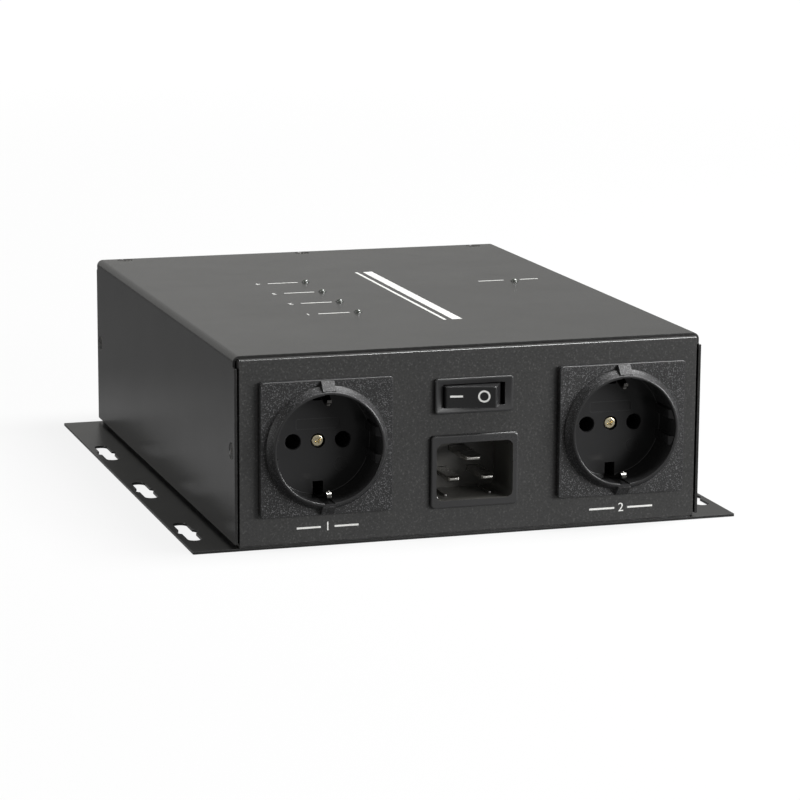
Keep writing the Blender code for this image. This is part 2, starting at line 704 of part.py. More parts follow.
def earth_clip(name, frame):
    """A strip bent round behind the outlet, with a nose above and below the well."""
    outer = OUTLET_WELL_RADIUS
    rim = OUTLET_RIM_PROUD
    bend = rim - CLIP_NOSE_BACK - CLIP_SPRING_LENGTH
    behind = OUTLET_BACK - CLEARANCE
    edge = [
        (outer, behind - CLIP_SHEET),
        (outer, bend),
        (CLIP_NOSE + CLIP_SHEET, rim - CLIP_NOSE_BACK),
        (CLIP_NOSE + CLIP_TIP_SPREAD + CLIP_SHEET, rim - CLIP_TIP_BACK),
        (CLIP_NOSE + CLIP_TIP_SPREAD, rim - CLIP_TIP_BACK),
        (CLIP_NOSE, rim - CLIP_NOSE_BACK),
        (outer - CLIP_SHEET, bend),
        (outer - CLIP_SHEET, behind),
    ]
    outline = edge + [(-across, height) for across, height in reversed(edge)]
    upright = Matrix.Rotation(math.pi / 2, 4, "Z") @ Matrix.Rotation(math.pi / 2, 4, "X")
    mesh = flat_solid(f"{name}_earth_clip", [outline], CLIP_WIDTH, upright)
    add_piece(f"{name}_earth_clip", mesh, BRIGHT_METAL, frame)


def cross_drive(piece, head, top, frame):
    """Sinks a cross into a screw's head."""
    arm = DRIVE_WIDTH / 2
    inner = arm * DRIVE_FLARE
    reach = min(DRIVE_LENGTH / 2, head * DRIVE_SHARE)
    cross = [
        (inner, inner), (arm, reach), (-arm, reach), (-inner, inner), (-reach, arm), (-reach, -arm),
        (-inner, -inner), (-arm, -reach), (arm, -reach), (inner, -inner), (reach, -arm), (reach, arm),
    ]
    name = f"{piece.name}_drive"
    drive = flat_solid(name, [cross], 2 * DRIVE_DEPTH, Matrix.Translation((0, 0, top)))
    shape_with(piece, name, drive, "DIFFERENCE", frame)


def countersunk_screw(name, length, frame):
    """A countersunk screw, its head just below the frame's XY plane."""
    top = -SCREW_SUNK
    head, shank = SCREW_HEAD / 2, SCREW_DIAMETER / 2
    profile = ((0, top), (head, top), (shank, top - head + shank), (shank, -length), (0, -length))
    made = turned(name, profile, SCREW_METAL, frame, SMALL_STEPS)
    cross_drive(made, SCREW_HEAD, top, frame)


def domed_screw(name, frame):
    """The screw in the middle of an outlet, with a low domed head on the frame's XY plane."""
    head, rise, shank = OUTLET_SCREW_HEAD, OUTLET_SCREW_HEAD_HEIGHT, OUTLET_SCREW_SHANK / 2
    tip = CLEARANCE - OUTLET_SCREW_LENGTH
    profile = [*dome(head / 2, rise), (shank, 0), (shank, tip), (0, tip)]
    made = turned(name, profile, SCREW_METAL, frame, SMALL_STEPS)
    cross_drive(made, head, rise, frame)


def outlet(name, frame):
    """One outlet with its earth clip and its centre screw."""
    outlet_housing(name, frame)
    earth_clip(name, frame)
    seat = OUTLET_FLOOR - OUTLET_SCREW_HEAD_HEIGHT - CLEARANCE
    domed_screw(f"{name}_screw", frame @ Matrix.Translation((0, 0, seat)))


def inlet_blade_places():
    """Each blade of the inlet: place across and up from its middle, width, and tip from the panel's face."""
    half = LIVE_BLADE_SPACING / 2
    return {
        "line": (-half, -LIVE_BLADE_DROP, LIVE_BLADE_WIDTH, -LIVE_BLADE_SET_BACK),
        "neutral": (half, -LIVE_BLADE_DROP, LIVE_BLADE_WIDTH, -LIVE_BLADE_SET_BACK),
        "earth": (0, EARTH_BLADE_RISE, EARTH_BLADE_WIDTH, EARTH_BLADE_FORWARD),
    }


def inlet():
    """The framed recess of the mains inlet and the three flat blades that stand in it."""
    frame = panel_frame(INLET_ACROSS, INLET_HEIGHT)
    outline = rounded_rectangle(INLET_BODY_WIDTH, INLET_BODY_HEIGHT, INLET_CORNER)
    front = INLET_PROUD - CLEARANCE
    body_length = front + INLET_BODY_END
    middle = Matrix.Translation((0, 0, front - body_length / 2))
    body = flat_solid("inlet_housing", [outline], body_length, middle)
    housing = add_piece("inlet_housing", body, MOULDING, frame)

    rim = rounded_rectangle(INLET_FRAME_WIDTH, INLET_FRAME_HEIGHT, INLET_CORNER)
    middle = Matrix.Translation((0, 0, (INLET_PROUD + CLEARANCE) / 2))
    rim_solid = flat_solid("inlet_rim", [rim], INLET_PROUD - CLEARANCE, middle)
    shape_with(housing, "inlet_rim", rim_solid, "UNION", frame)

    mouth = rounded_rectangle(INLET_OPENING_WIDTH, INLET_OPENING_HEIGHT, INLET_CORNER)
    depth = INLET_DEPTH + 2 * INLET_PROUD
    middle = Matrix.Translation((0, 0, 2 * INLET_PROUD - depth / 2))
    shape_with(housing, "inlet_mouth", flat_solid("inlet_mouth", [mouth], depth, middle), "DIFFERENCE", frame)

    slots = []
    for name, (across, up, width, tip) in inlet_blade_places().items():
        tail = -INLET_BODY_END - BLADE_TAIL
        low = Vector((across - width / 2, up - BLADE_THICKNESS / 2, tail))
        high = Vector((across + width / 2, up + BLADE_THICKNESS / 2, tip))
        gap = Vector((CLEARANCE, CLEARANCE, 0))
        slots.append((low - gap, high + gap))
        blade = add_piece(f"inlet_{name}_blade", solids(name, boxes=[(low, high)]), BRIGHT_METAL, frame)
        bm = bmesh.new()
        bm.from_mesh(blade.data)
        tip_edges = [edge for edge in bm.edges if all(abs(v.co.z - tip) < WELD_DISTANCE for v in edge.verts)]
        bmesh.ops.bevel(
            bm, geom=tip_edges, offset=BLADE_TIP, offset_type="OFFSET",
            segments=1, affect="EDGES",
        )
        bm.to_mesh(blade.data)
        bm.free()
    shape_with(housing, "blade_slots", solids("blade_slots", boxes=slots), "DIFFERENCE", frame)


def switch_housing():
    """The switch's bezel and body, with the rocker's chamber and the two holes for its pivot."""
    frame = panel_frame(SWITCH_ACROSS, SWITCH_HEIGHT)
    front = SWITCH_PROUD - CLEARANCE
    outline = rounded_rectangle(SWITCH_BODY_WIDTH, SWITCH_BODY_HEIGHT, SWITCH_FRAME_CORNER)
    length = front + SWITCH_BODY_DEPTH
    body = flat_solid("switch_housing", [outline], length, Matrix.Translation((0, 0, front - length / 2)))
    housing = add_piece("switch_housing", body, MOULDING, frame)

    rim = rounded_rectangle(SWITCH_FRAME_WIDTH, SWITCH_FRAME_HEIGHT, SWITCH_FRAME_CORNER)
    middle = Matrix.Translation((0, 0, (SWITCH_PROUD + CLEARANCE) / 2))
    bezel = flat_solid("switch_bezel", [rim], SWITCH_PROUD - CLEARANCE, middle)
    shape_with(housing, "switch_bezel", bezel, "UNION", frame)

    sweep = math.hypot(ROCKER_BACK_HALF, ROCKER_BACK)
    lean = math.atan2(ROCKER_BACK, ROCKER_BACK_HALF) + math.radians(ROCKER_TILT)
    floor = -PIVOT_BEHIND_PANEL - sweep * math.sin(lean) - CLEARANCE
    half_width, half_height = SWITCH_WINDOW_WIDTH / 2, SWITCH_WINDOW_HEIGHT / 2
    chamber = solids("rocker_chamber", boxes=[(
        (-half_width, -half_height, floor), (half_width, half_height, 2 * SWITCH_PROUD)
    )])
    shape_with(housing, "rocker_chamber", chamber, "DIFFERENCE", frame)
    reach = ROCKER_HEIGHT / 2 + PIVOT_PIN + CLEARANCE
    radius = PIVOT_RADIUS + CLEARANCE / 2
    pivot = solids("pivot_holes", rods=[(
        (0, -reach, -PIVOT_BEHIND_PANEL), (0, reach, -PIVOT_BEHIND_PANEL), radius, radius
    )])
    shape_with(housing, "pivot_holes", pivot, "DIFFERENCE", frame)


def switch_rocker():
    """The rocker, tilted with its left end pressed in; its origin is on its pivot's axis."""
    pivot = Vector((SWITCH_ACROSS, FRONT + PIVOT_BEHIND_PANEL, SWITCH_HEIGHT))
    face = []
    for step in range(-CORNER_STEPS, CORNER_STEPS + 1):
        share = step / CORNER_STEPS
        dish = ROCKER_DISH * (1 - share * share)
        face.append((share * ROCKER_HALF_LENGTH, -ROCKER_FACE + dish))
    outline = face + [
        (ROCKER_FLARE_HALF, -ROCKER_FLARE_AT),
        (ROCKER_FLARE_HALF, 0),
        (ROCKER_BACK_HALF, ROCKER_BACK),
        (-ROCKER_BACK_HALF, ROCKER_BACK),
        (-ROCKER_FLARE_HALF, 0),
        (-ROCKER_FLARE_HALF, -ROCKER_FLARE_AT),
    ]
    frame = Matrix.Translation(pivot) @ Matrix.Rotation(math.radians(-ROCKER_TILT), 4, "Z")
    rocker = add_piece(
        "switch_rocker", flat_solid("switch_rocker", [outline], ROCKER_HEIGHT), ROCKER_PLASTIC, frame
    )
    reach = ROCKER_HEIGHT / 2 + PIVOT_PIN
    pins = solids("pivot_pins", rods=[((0, 0, -reach), (0, 0, reach), PIVOT_RADIUS, PIVOT_RADIUS)])
    shape_with(rocker, "pivot_pins", pins, "UNION", frame)


def lamps():
    """The lamps, domed lenses that stand on the board in the cover's holes."""
    radius = LAMP_DIAMETER / 2
    profile = [
        *dome(radius, radius, LAMP_LENGTH - radius),
        (radius, LAMP_FLANGE_HEIGHT),
        (LAMP_FLANGE / 2, LAMP_FLANGE_HEIGHT),
        (LAMP_FLANGE / 2, 0),
        (0, 0),
    ]
    for name, (x, y) in LAMP_PLACES.items():
        turned(name, profile, LAMP_LENS, Matrix.Translation((x, y, LAMP_BASE)), SMALL_STEPS)


def screws():
    """The screws through the cover's sides and top into the tray, and those from below into the posts."""
    for name, frame in cover_screw_places().items():
        countersunk_screw(name, COVER_SCREW_LENGTH, frame)
    for name, frame in base_screw_places().items():
        countersunk_screw(name, BASE_SCREW_LENGTH, frame)


def board_posts():
    """Round posts under the board, bored from below for the base screws, with tips through the board."""
    foot = FLOOR_TOP + CLEARANCE
    tip_top = BOARD_TOP + POST_TIP_ABOVE
    bore_end = foot + POST_BORE_DEPTH
    profile = (
        (0, tip_top),
        (POST_TIP_RADIUS, tip_top),
        (POST_TIP_RADIUS, HUNG_TOP),
        (POST_RADIUS, HUNG_TOP),
        (POST_RADIUS, foot),
        (SCREW_HOLE, foot),
        (SCREW_HOLE, bore_end),
        (0, bore_end),
    )
    for place, (x, y) in POST_PLACES.items():
        turned(f"board_post_{place}", profile, POST_WHITE, Matrix.Translation((x, y, 0)), SMALL_STEPS)


def control_board():
    """The circuit board under the lamps, with a hole for each post's tip."""
    size = BOARD_HIGH - BOARD_LOW
    outline = rounded_rectangle(size.x, size.y, POST_RADIUS, BOARD_MIDDLE)
    holes = [circle(place, POST_TIP_RADIUS + CLEARANCE, SMALL_STEPS) for place in POST_PLACES.values()]
    middle = Matrix.Translation((0, 0, BOARD_TOP - BOARD_SHEET / 2))
    sheet = flat_solid("control_board", [outline, *holes], BOARD_SHEET, middle)
    add_piece("control_board", sheet, BOARD_GREEN)


def block_middle():
    """The middle of the terminal block, under the middle of the board."""
    return Vector((BOARD_MIDDLE.x, BOARD_MIDDLE.y, HUNG_TOP - BLOCK_SIZE.z / 2))


def hung_box(name, middle_x, middle_y, size, finish):
    """A boxed component under the board."""
    low = Vector((middle_x - size.x / 2, middle_y - size.y / 2, HUNG_TOP - size.z))
    high = Vector((middle_x + size.x / 2, middle_y + size.y / 2, HUNG_TOP))
    return add_piece(name, solids(name, boxes=[(low, high)]), finish)


def board_components():
    """A relay for each port lamp, the power module and the terminal block, hung under the board."""
    block = block_middle()
    relay_x = block.x - BLOCK_SIZE.x / 2 - COMPONENT_GAP - RELAY_SIZE.x / 2
    for number in range(LAMP_COUNT):
        lamp_y = LAMP_PLACES[f"lamp_{number + 1}"][1]
        hung_box(f"relay_{number + 1}", relay_x, lamp_y, RELAY_SIZE, RELAY_BLUE)
    module_x = block.x + BLOCK_SIZE.x / 2 + COMPONENT_GAP + MODULE_SIZE.x / 2
    hung_box("power_module", module_x, block.y, MODULE_SIZE, MODULE_BLACK)
    terminal = hung_box("terminal_block", block.x, block.y, BLOCK_SIZE, BLOCK_GREEN)
    under = block.z - BLOCK_SIZE.z / 2
    wells = [
        ((block.x + entry * BLOCK_ENTRY_PITCH, block.y + side * BLOCK_SIZE.y / 4, under - BLOCK_SCREW_DEPTH),
         (block.x + entry * BLOCK_ENTRY_PITCH, block.y + side * BLOCK_SIZE.y / 4, under + BLOCK_SCREW_DEPTH),
         BLOCK_SCREW / 2, BLOCK_SCREW / 2)
        for side in (-1, 1)
        for entry in (-OUTER_ENTRY, -INNER_ENTRY, INNER_ENTRY, OUTER_ENTRY)
    ]
    drilled = solids("terminal_wells", rods=wells, steps=SMALL_STEPS)
    shape_with(terminal, "terminal_wells", drilled, "DIFFERENCE")


def run_wire(name, knots, radius, finish):
    """A round wire along a smooth curve through its knots, straight where it leaves each end."""
    first, last = knots[0], knots[-1]
    knots = [
        first + (knots[1] - first).normalized() * radius,
        *knots[1:-1],
        last - (last - knots[-2]).normalized() * radius,
    ]
    slopes = [knots[1] - knots[0]]
    slopes += [(after - before) / 2 for before, after in zip(knots, knots[2:])]
    slopes.append(knots[-1] - knots[-2])
    points = [first, knots[0]]
    for start, end, leave, arrive in zip(knots, knots[1:], slopes, slopes[1:]):
        samples = interpolate_bezier(start, start + leave / 3, end - arrive / 3, end, WIRE_SAMPLES)
        points += samples[1:]
    points.append(last)
    curve = bpy.data.curves.new(name, "CURVE")
    curve.dimensions = "3D"
    curve.bevel_depth = radius
    curve.bevel_resolution = 2
    curve.use_fill_caps = True
    spline = curve.splines.new("POLY")
    spline.points.add(len(points) - 1)
    for point, place in zip(spline.points, points):
        point.co = (*place, 1)
    add_piece(name, curve, finish)


def knots_between(start, end, out, route):
    """Knots from a start to an end: a straight stub, then the bends of a route."""
    near = start + out * WIRE_STUB
    way = end - near
    bends = [near + Vector((way.x * across, way.y * along, way.z * up)) for across, along, up in route]
    return [start, near, *bends, end]


def wiring():
    """The leads to the outlets and the wires from the inlet to the switch, the block and the earth stud."""
    block = block_middle()
    middle = OUTLET_OFFSET
    for name, frame in outlet_places().items():
        place = frame.translation
        out = Vector((0, 1 if place.y < 0 else -1, 0))
        side = 1 if place.x > middle else -1
        depth = -OUTLET_BACK + CLEARANCE
        start = place + out * depth - Vector((side * LEAD_ASIDE, 0, 0))
        entry = block.x + side * OUTER_ENTRY * BLOCK_ENTRY_PITCH
        end = Vector((entry, block.y - out.y * (BLOCK_SIZE.y / 2 + CLEARANCE), block.z))
        run_wire(f"{name}_lead", knots_between(start, end, out, LEAD_ROUTE), LEAD_RADIUS, LEAD_BLACK)

    back = Vector((0, 1, 0))
    switch_rear = FRONT + SWITCH_BODY_DEPTH + CLEARANCE
    blade_rear = FRONT + INLET_BODY_END + BLADE_TAIL + CLEARANCE
    row = SWITCH_BODY_HEIGHT / 4
    blades = inlet_blade_places()
    for pole, side, finish in (("line", -1, LINE_BROWN), ("neutral", 1, NEUTRAL_BLUE)):
        across, up = blades[pole][:2]
        start = Vector((INLET_ACROSS + across, blade_rear, INLET_HEIGHT + up))
        end = Vector((start.x, switch_rear, SWITCH_HEIGHT - row))
        rise = end.z - start.z
        knots = [
            start,
            start + back * INLET_WIRE_STUB,
            Vector((start.x, blade_rear + INLET_WIRE_TURN, start.z + rise * INLET_WIRE_RISE)),
            Vector((start.x, blade_rear + INLET_WIRE_RETURN, end.z)),
            end,
        ]
        run_wire(f"wire_inlet_{pole}", knots, WIRE_RADIUS, finish)
        start = Vector((end.x, switch_rear, SWITCH_HEIGHT + row))
        end = Vector((
            block.x + side * INNER_ENTRY * BLOCK_ENTRY_PITCH, block.y - BLOCK_SIZE.y / 2 - CLEARANCE, block.z
        ))
        knots = knots_between(start, end, back, SWITCH_WIRE_ROUTE)
        run_wire(f"wire_switch_{pole}", knots, WIRE_RADIUS, finish)

    across, up = blades["earth"][:2]
    stud = Vector((INLET_ACROSS, FRONT + STUD_BACK, FLOOR_TOP + CLEARANCE))
    profile = (
        (0, STUD_HEIGHT),
        (STUD_RADIUS, STUD_HEIGHT),
        (STUD_RADIUS, STUD_NUT_HEIGHT),
        (STUD_NUT_RADIUS, STUD_NUT_HEIGHT),
        (STUD_NUT_RADIUS, 0),
        (0, 0),
    )
    turned("earth_stud", profile, BRIGHT_METAL, Matrix.Translation(stud), SMALL_STEPS)
    start = Vector((INLET_ACROSS + across, blade_rear, INLET_HEIGHT + up))
    end = stud + Vector((0, -STUD_NUT_RADIUS - CLEARANCE, STUD_NUT_HEIGHT - WIRE_RADIUS))
    drop = end.z - start.z
    knots = [
        start,
        start + back * EARTH_WIRE_STUB,
        Vector((start.x, start.y + EARTH_WIRE_TURN, start.z + drop * EARTH_WIRE_DROP)),
        Vector((start.x, end.y - EARTH_WIRE_END, end.z)),
        end,
    ]
    run_wire("wire_earth", knots, WIRE_RADIUS, EARTH_GREEN)


base_plate()
chassis_tray()
cover()
for outlet_name, outlet_frame in outlet_places().items():
    outlet(outlet_name, outlet_frame)
inlet()
switch_housing()
switch_rocker()
lamps()
screws()
board_posts()
control_board()
board_components()
wiring()
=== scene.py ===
"""Looks of a mains power distribution unit for a stage rig.

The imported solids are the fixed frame. Each visible piece is modelled over its solid, in the order
in which the unit is put together. Metres, +Z up, the front panel faces -Y.
"""

import math

import bmesh
import bpy
from mathutils import Matrix, Vector


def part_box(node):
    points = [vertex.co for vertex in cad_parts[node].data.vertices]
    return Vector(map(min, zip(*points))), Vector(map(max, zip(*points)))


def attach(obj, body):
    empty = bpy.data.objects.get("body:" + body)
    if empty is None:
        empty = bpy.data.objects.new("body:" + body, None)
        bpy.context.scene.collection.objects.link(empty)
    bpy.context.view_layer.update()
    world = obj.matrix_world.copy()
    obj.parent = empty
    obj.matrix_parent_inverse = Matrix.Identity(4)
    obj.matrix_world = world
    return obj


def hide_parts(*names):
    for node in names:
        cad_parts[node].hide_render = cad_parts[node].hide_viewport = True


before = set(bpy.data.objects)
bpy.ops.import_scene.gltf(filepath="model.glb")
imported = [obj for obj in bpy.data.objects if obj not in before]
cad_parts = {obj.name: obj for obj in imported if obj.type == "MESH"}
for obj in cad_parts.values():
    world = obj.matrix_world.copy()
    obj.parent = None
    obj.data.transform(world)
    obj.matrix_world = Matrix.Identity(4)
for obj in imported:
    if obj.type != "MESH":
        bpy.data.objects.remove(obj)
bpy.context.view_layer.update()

scene = bpy.context.scene
scene.view_settings.view_transform = "Standard"

# Camera
# A long lens at arm's length in front of the unit, a little to its left and above it.
CAMERA_PLACE = (-0.35641, -1.15380, 0.27256)
CAMERA_YAW = 17.5863
CAMERA_PITCH = 11.4476
CAMERA_ROLL = 0.3346
CAMERA_LENS = 137.46


def rotation(degrees, axis):
    """A turn about an axis."""
    return Matrix.Rotation(math.radians(degrees), 4, axis)


bpy.ops.object.camera_add(location=CAMERA_PLACE)
camera = bpy.context.object
camera.name = "camera"
camera.data.lens = CAMERA_LENS
camera.data.sensor_width = 36
camera.data.sensor_fit = "HORIZONTAL"
camera.data.clip_start = 0.05
camera.data.clip_end = 50
turn = rotation(-CAMERA_YAW, "Z") @ rotation(90 - CAMERA_PITCH, "X") @ rotation(CAMERA_ROLL, "Z")
camera.matrix_world = Matrix.Translation(CAMERA_PLACE) @ turn
scene.camera = camera

# Studio
# A white floor that runs out of sight, a white surround and three soft lamps: one low at the front
# right, one from the left, and one over the top that draws the bright lines along the edges.
FLOOR_HALF = 15
FLOOR_DROP = 0.0002
FLOOR_WHITE = 0.06
SURROUND_LIGHT = 0.12
SURROUND_SHINE = 0.43
SURROUND_TINT = (1.0, 0.995, 0.97)
LAMP_AIM = (0, 0, 0.04)
# Where a share starts and ends to change, then its first and last value: the floor's white by the
# distance from the unit, what the floor gives a shiny side by that distance, and the surround to the right
FLOOR_LIFT = (0.3, 2.0, 0.88, 1.0)
FLOOR_SHINE = (0.10, 0.26, 0.31, 0.095)
SURROUND_RIGHT = (0.24, 0.40, 1, 0.82)


def add_node(tree, kind, inputs=None, **settings):
    """A shader node with its settings; an input takes a value or another node's output."""
    made = tree.nodes.new("ShaderNode" + kind)
    for key, value in settings.items():
        setattr(made, key, value)
    for socket, value in (inputs or {}).items():
        if isinstance(value, bpy.types.NodeSocket):
            tree.links.new(value, made.inputs[socket])
        else:
            made.inputs[socket].default_value = value
    return made


def math_node(tree, operation, *values, clamp=False):
    """The output of a Math node."""
    inputs = dict(enumerate(values))
    return add_node(tree, "Math", inputs, operation=operation, use_clamp=clamp).outputs[0]


def times(tree, first, second):
    """The product of two values."""
    return math_node(tree, "MULTIPLY", first, second)


def spread(tree, value, low, high, to_low=0.0, to_high=1.0):
    """A value's range from low to high, drawn out to another range and held there."""
    inputs = {"Value": value, "From Min": low, "From Max": high, "To Min": to_low, "To Max": to_high}
    return add_node(tree, "MapRange", inputs).outputs["Result"]


def blend(tree, share, first, second):
    """A colour between two colours."""
    first, second = (c if isinstance(c, bpy.types.NodeSocket) else (*c, 1) for c in (first, second))
    return add_node(tree, "Mix", {0: share, 6: first, 7: second}, data_type="RGBA").outputs[2]


bpy.ops.mesh.primitive_plane_add(size=2 * FLOOR_HALF, location=(0, 0, -FLOOR_DROP))
floor = bpy.context.object
floor.name = "studio_floor"
paper = bpy.data.materials.new("floor_paper")
paper.use_nodes = True
tree = paper.node_tree
tree.nodes.clear()
seen = add_node(tree, "LightPath")
matt = add_node(tree, "BsdfDiffuse", {"Color": (FLOOR_WHITE, FLOOR_WHITE, FLOOR_WHITE, 1)})
spot = add_node(tree, "TexCoord").outputs["Object"]
away = add_node(tree, "VectorMath", {0: spot}, operation="LENGTH").outputs["Value"]
lift = spread(tree, away, *FLOOR_LIFT)
lift = times(tree, seen.outputs["Is Camera Ray"], lift)
shine = spread(tree, away, *FLOOR_SHINE)
lift = math_node(tree, "MULTIPLY_ADD", seen.outputs["Is Glossy Ray"], shine, lift)
glow = add_node(tree, "Emission", {"Color": (1, 1, 1, 1), "Strength": lift})
both = add_node(tree, "AddShader", {0: matt.outputs[0], 1: glow.outputs[0]})
add_node(tree, "OutputMaterial", {"Surface": both.outputs[0]})
paper.cycles.emission_sampling = "NONE"
floor.data.materials.append(paper)

world = bpy.data.worlds.new("studio")
world.use_nodes = True
scene.world = world
tree = world.node_tree
tree.nodes.clear()
seen = add_node(tree, "LightPath")
straight = math_node(tree, "MAXIMUM", seen.outputs["Is Camera Ray"], seen.outputs["Is Transmission Ray"])
way = add_node(tree, "TexCoord").outputs["Generated"]
right = add_node(tree, "SeparateXYZ", {0: way}).outputs["X"]
shine = times(tree, spread(tree, right, *SURROUND_RIGHT), SURROUND_SHINE)
strength = spread(tree, seen.outputs["Is Glossy Ray"], 0, 1, SURROUND_LIGHT, shine)
strength = math_node(tree, "MAXIMUM", strength, straight)
tint = blend(tree, straight, SURROUND_TINT, (1, 1, 1))
surround = add_node(tree, "Background", {"Color": tint, "Strength": strength})
add_node(tree, "OutputWorld", {"Surface": surround.outputs[0]})

LAMPS = {
    "key_light": ((1.76, -1.70, 0.45), 1.3, 0.7, 70),
    "side_light": ((-1.30, -0.20, 0.32), 0.4, 0.6, 4.5),
    "overhead_light": ((0.58, -0.10, 1.20), 0.58, 0.65, 36),
}
for name, (place, width, height, power) in LAMPS.items():
    bpy.ops.object.light_add(type="AREA", location=place)
    lamp = bpy.context.object
    lamp.name = name
    lamp.data.shape = "RECTANGLE"
    lamp.data.size = width
    lamp.data.size_y = height
    lamp.data.energy = power
    aim = Vector(LAMP_AIM) - Vector(place)
    lamp.rotation_euler = aim.to_track_quat("-Z", "Y").to_euler()

# Base plate
# A flat laser-cut steel plate under the whole unit, powder-coated black. Its two flanges have
# three keyhole slots each, for fixing to a board, a truss plate or a rack shelf.
PLATE_LOW, PLATE_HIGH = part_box("base_plate")
PLATE_CORNER = 0.0006
PLATE_EDGE = 0.00014
SLOT_ACROSS = 0.1003
SLOT_PLACES = (-0.0870, -0.0169, 0.0532)
SLOT_HALF_WIDTH = 0.0026
SLOT_REACH = 0.0114
SLOT_EYE = 0.0040
BASE_SINK_DEPTHS = (-0.0004, 0.0016)
BASE_SINK_RADII = (0.0038, 0.0018)
BASE_SCREWS = [f"base_screw_{side}_{end}" for side in ("left", "right") for end in ("front", "rear")]


def upright(middle, along):
    """Whether an edge runs along Z."""
    return abs(along.z) > 0.9


def facing_up(middle, normal):
    """Whether a face looks up Z."""
    return normal.z > 0.9


def facing_down(middle, normal):
    """Whether a face looks down Z."""
    return normal.z < -0.9


def middle_of(node):
    """The middle of a solid's box."""
    low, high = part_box(node)
    return (low + high) / 2


def take(piece):
    """Makes a piece the only selected one, and the active one."""
    bpy.ops.object.select_all(action="DESELECT")
    piece.select_set(True)
    bpy.context.view_layer.objects.active = piece


def settle(piece, placed=None):
    """Puts a piece's place, turn and size into its mesh, first moved by a matrix if one is given."""
    if placed is not None:
        piece.matrix_world = placed
    take(piece)
    bpy.ops.object.transform_apply(location=True, rotation=True, scale=True)
    return piece


def new_piece(name):
    """Names the primitive that was just added and settles it."""
    piece = bpy.context.object
    piece.name = piece.data.name = name
    return settle(piece)


def block(name, low, high):
    """A cube drawn out between two corners."""
    low, high = Vector(low), Vector(high)
    bpy.ops.mesh.primitive_cube_add(size=1, location=(low + high) / 2, scale=high - low)
    return new_piece(name)


def rod(name, start, end, radius, end_radius=None, sides=40):
    """A round bar or a cone between two points."""
    start, end = Vector(start), Vector(end)
    along = end - start
    bpy.ops.mesh.primitive_cone_add(
        vertices=sides, radius1=radius, radius2=radius if end_radius is None else end_radius,
        depth=along.length, location=(start + end) / 2, rotation=along.to_track_quat("Z", "Y").to_euler(),
    )
    return new_piece(name)


def pick(piece, faces=None, edges=None, corners=None, folds=False):
    """In edit mode, selects what passes a test of place and direction, or the folds of a sheet."""
    bpy.ops.mesh.select_mode(type="FACE" if faces else "VERT" if corners else "EDGE")
    bpy.ops.mesh.select_all(action="DESELECT")
    bm = bmesh.from_edit_mesh(piece.data)
    for face in bm.faces if faces else ():
        face.select_set(bool(faces(face.calc_center_median(), face.normal)))
    for edge in bm.edges if edges else ():
        first, second = (corner.co for corner in edge.verts)
        edge.select_set(bool(edges((first + second) / 2, (second - first).normalized())))
    for corner in bm.verts if corners else ():
        corner.select_set(bool(corners(corner.co)))
    for edge in bm.edges if folds else ():
        edge.select_set(len(edge.link_faces) == 2 and edge.calc_face_angle(0) > 1)
    bm.select_flush_mode()
    bmesh.update_edit_mesh(piece.data)


def edit(piece, **tests):
    """Opens a piece in edit mode and picks what passes a test."""
    take(piece)
    bpy.ops.object.mode_set(mode="EDIT")
    if tests:
        pick(piece, **tests)


def done():
    """Closes edit mode."""
    bpy.ops.object.mode_set(mode="OBJECT")


def widen(across, over, middle=(0, 0, 0)):
    """Widens or narrows what is picked along X and Y, about a point."""
    bpy.ops.transform.resize(value=(across, over, 1), center_override=middle)


def draw_out(step, across=1, over=None, middle=(0, 0, 0)):
    """Extrudes the picked faces by a step, then widens or narrows them."""
    bpy.ops.mesh.extrude_region_move(TRANSFORM_OT_translate={"value": step})
    over = across if over is None else over
    if (across, over) != (1, 1):
        widen(across, over, middle)


def shift(x=0, y=0, z=0):
    """Moves what is picked."""
    bpy.ops.transform.translate(value=(x, y, z))


def round_edges(piece, test, radius, steps):
    """Rounds the edges that pass a test, or without one the folds of a sheet."""
    edit(piece, edges=test, folds=test is None)
    bpy.ops.mesh.bevel(offset=radius, segments=steps, affect="EDGES", profile=0.5, clamp_overlap=False)
    done()
    return piece


def apply(piece, kind, **settings):
    """Adds a modifier to a piece and applies it."""
    take(piece)
    step = piece.modifiers.new(kind.title(), kind)
    for key, value in settings.items():
        setattr(step, key, value)
    bpy.ops.object.modifier_apply(modifier=step.name)


def join(pieces, name=None):
    """Joins pieces into the first of them, under its name or a new one."""
    take(pieces[0])
    for piece in pieces[1:]:
        piece.select_set(True)
    bpy.ops.object.join()
    if name:
        pieces[0].name = pieces[0].data.name = name
    return pieces[0]


def cut(piece, *tools, operation="DIFFERENCE"):
    """Cuts solids out of a piece, one after the other, or combines it with them in another way."""
    for tool in tools:
        apply(piece, "BOOLEAN", operation=operation, solver="EXACT", object=tool)
        bpy.data.objects.remove(tool, do_unlink=True)
    return piece


def weld(piece, other):
    """Unites a piece with another solid."""
    return cut(piece, other, operation="UNION")


def clean(piece):
    """Merges doubled corners."""
    edit(piece)
    bpy.ops.mesh.select_mode(type="VERT")
    bpy.ops.mesh.select_all(action="SELECT")
    bpy.ops.mesh.remove_doubles(threshold=0.000002)
    done()


def soften(piece, width, steps=2, sharp=35):
    """Breaks a piece's sharp edges and shades it smooth between them."""
    clean(piece)
    apply(
        piece, "BEVEL", width=width, segments=steps, limit_method="ANGLE",
        angle_limit=math.radians(sharp), use_clamp_overlap=True, loop_slide=True,
    )
    shade(piece)


def shade(piece, smooth=38):
    """Shades a piece smooth up to an angle, with its flat faces kept flat."""
    take(piece)
    bpy.ops.object.shade_smooth_by_angle(angle=math.radians(smooth))
    apply(piece, "WEIGHTED_NORMAL", keep_sharp=True, weight=100)


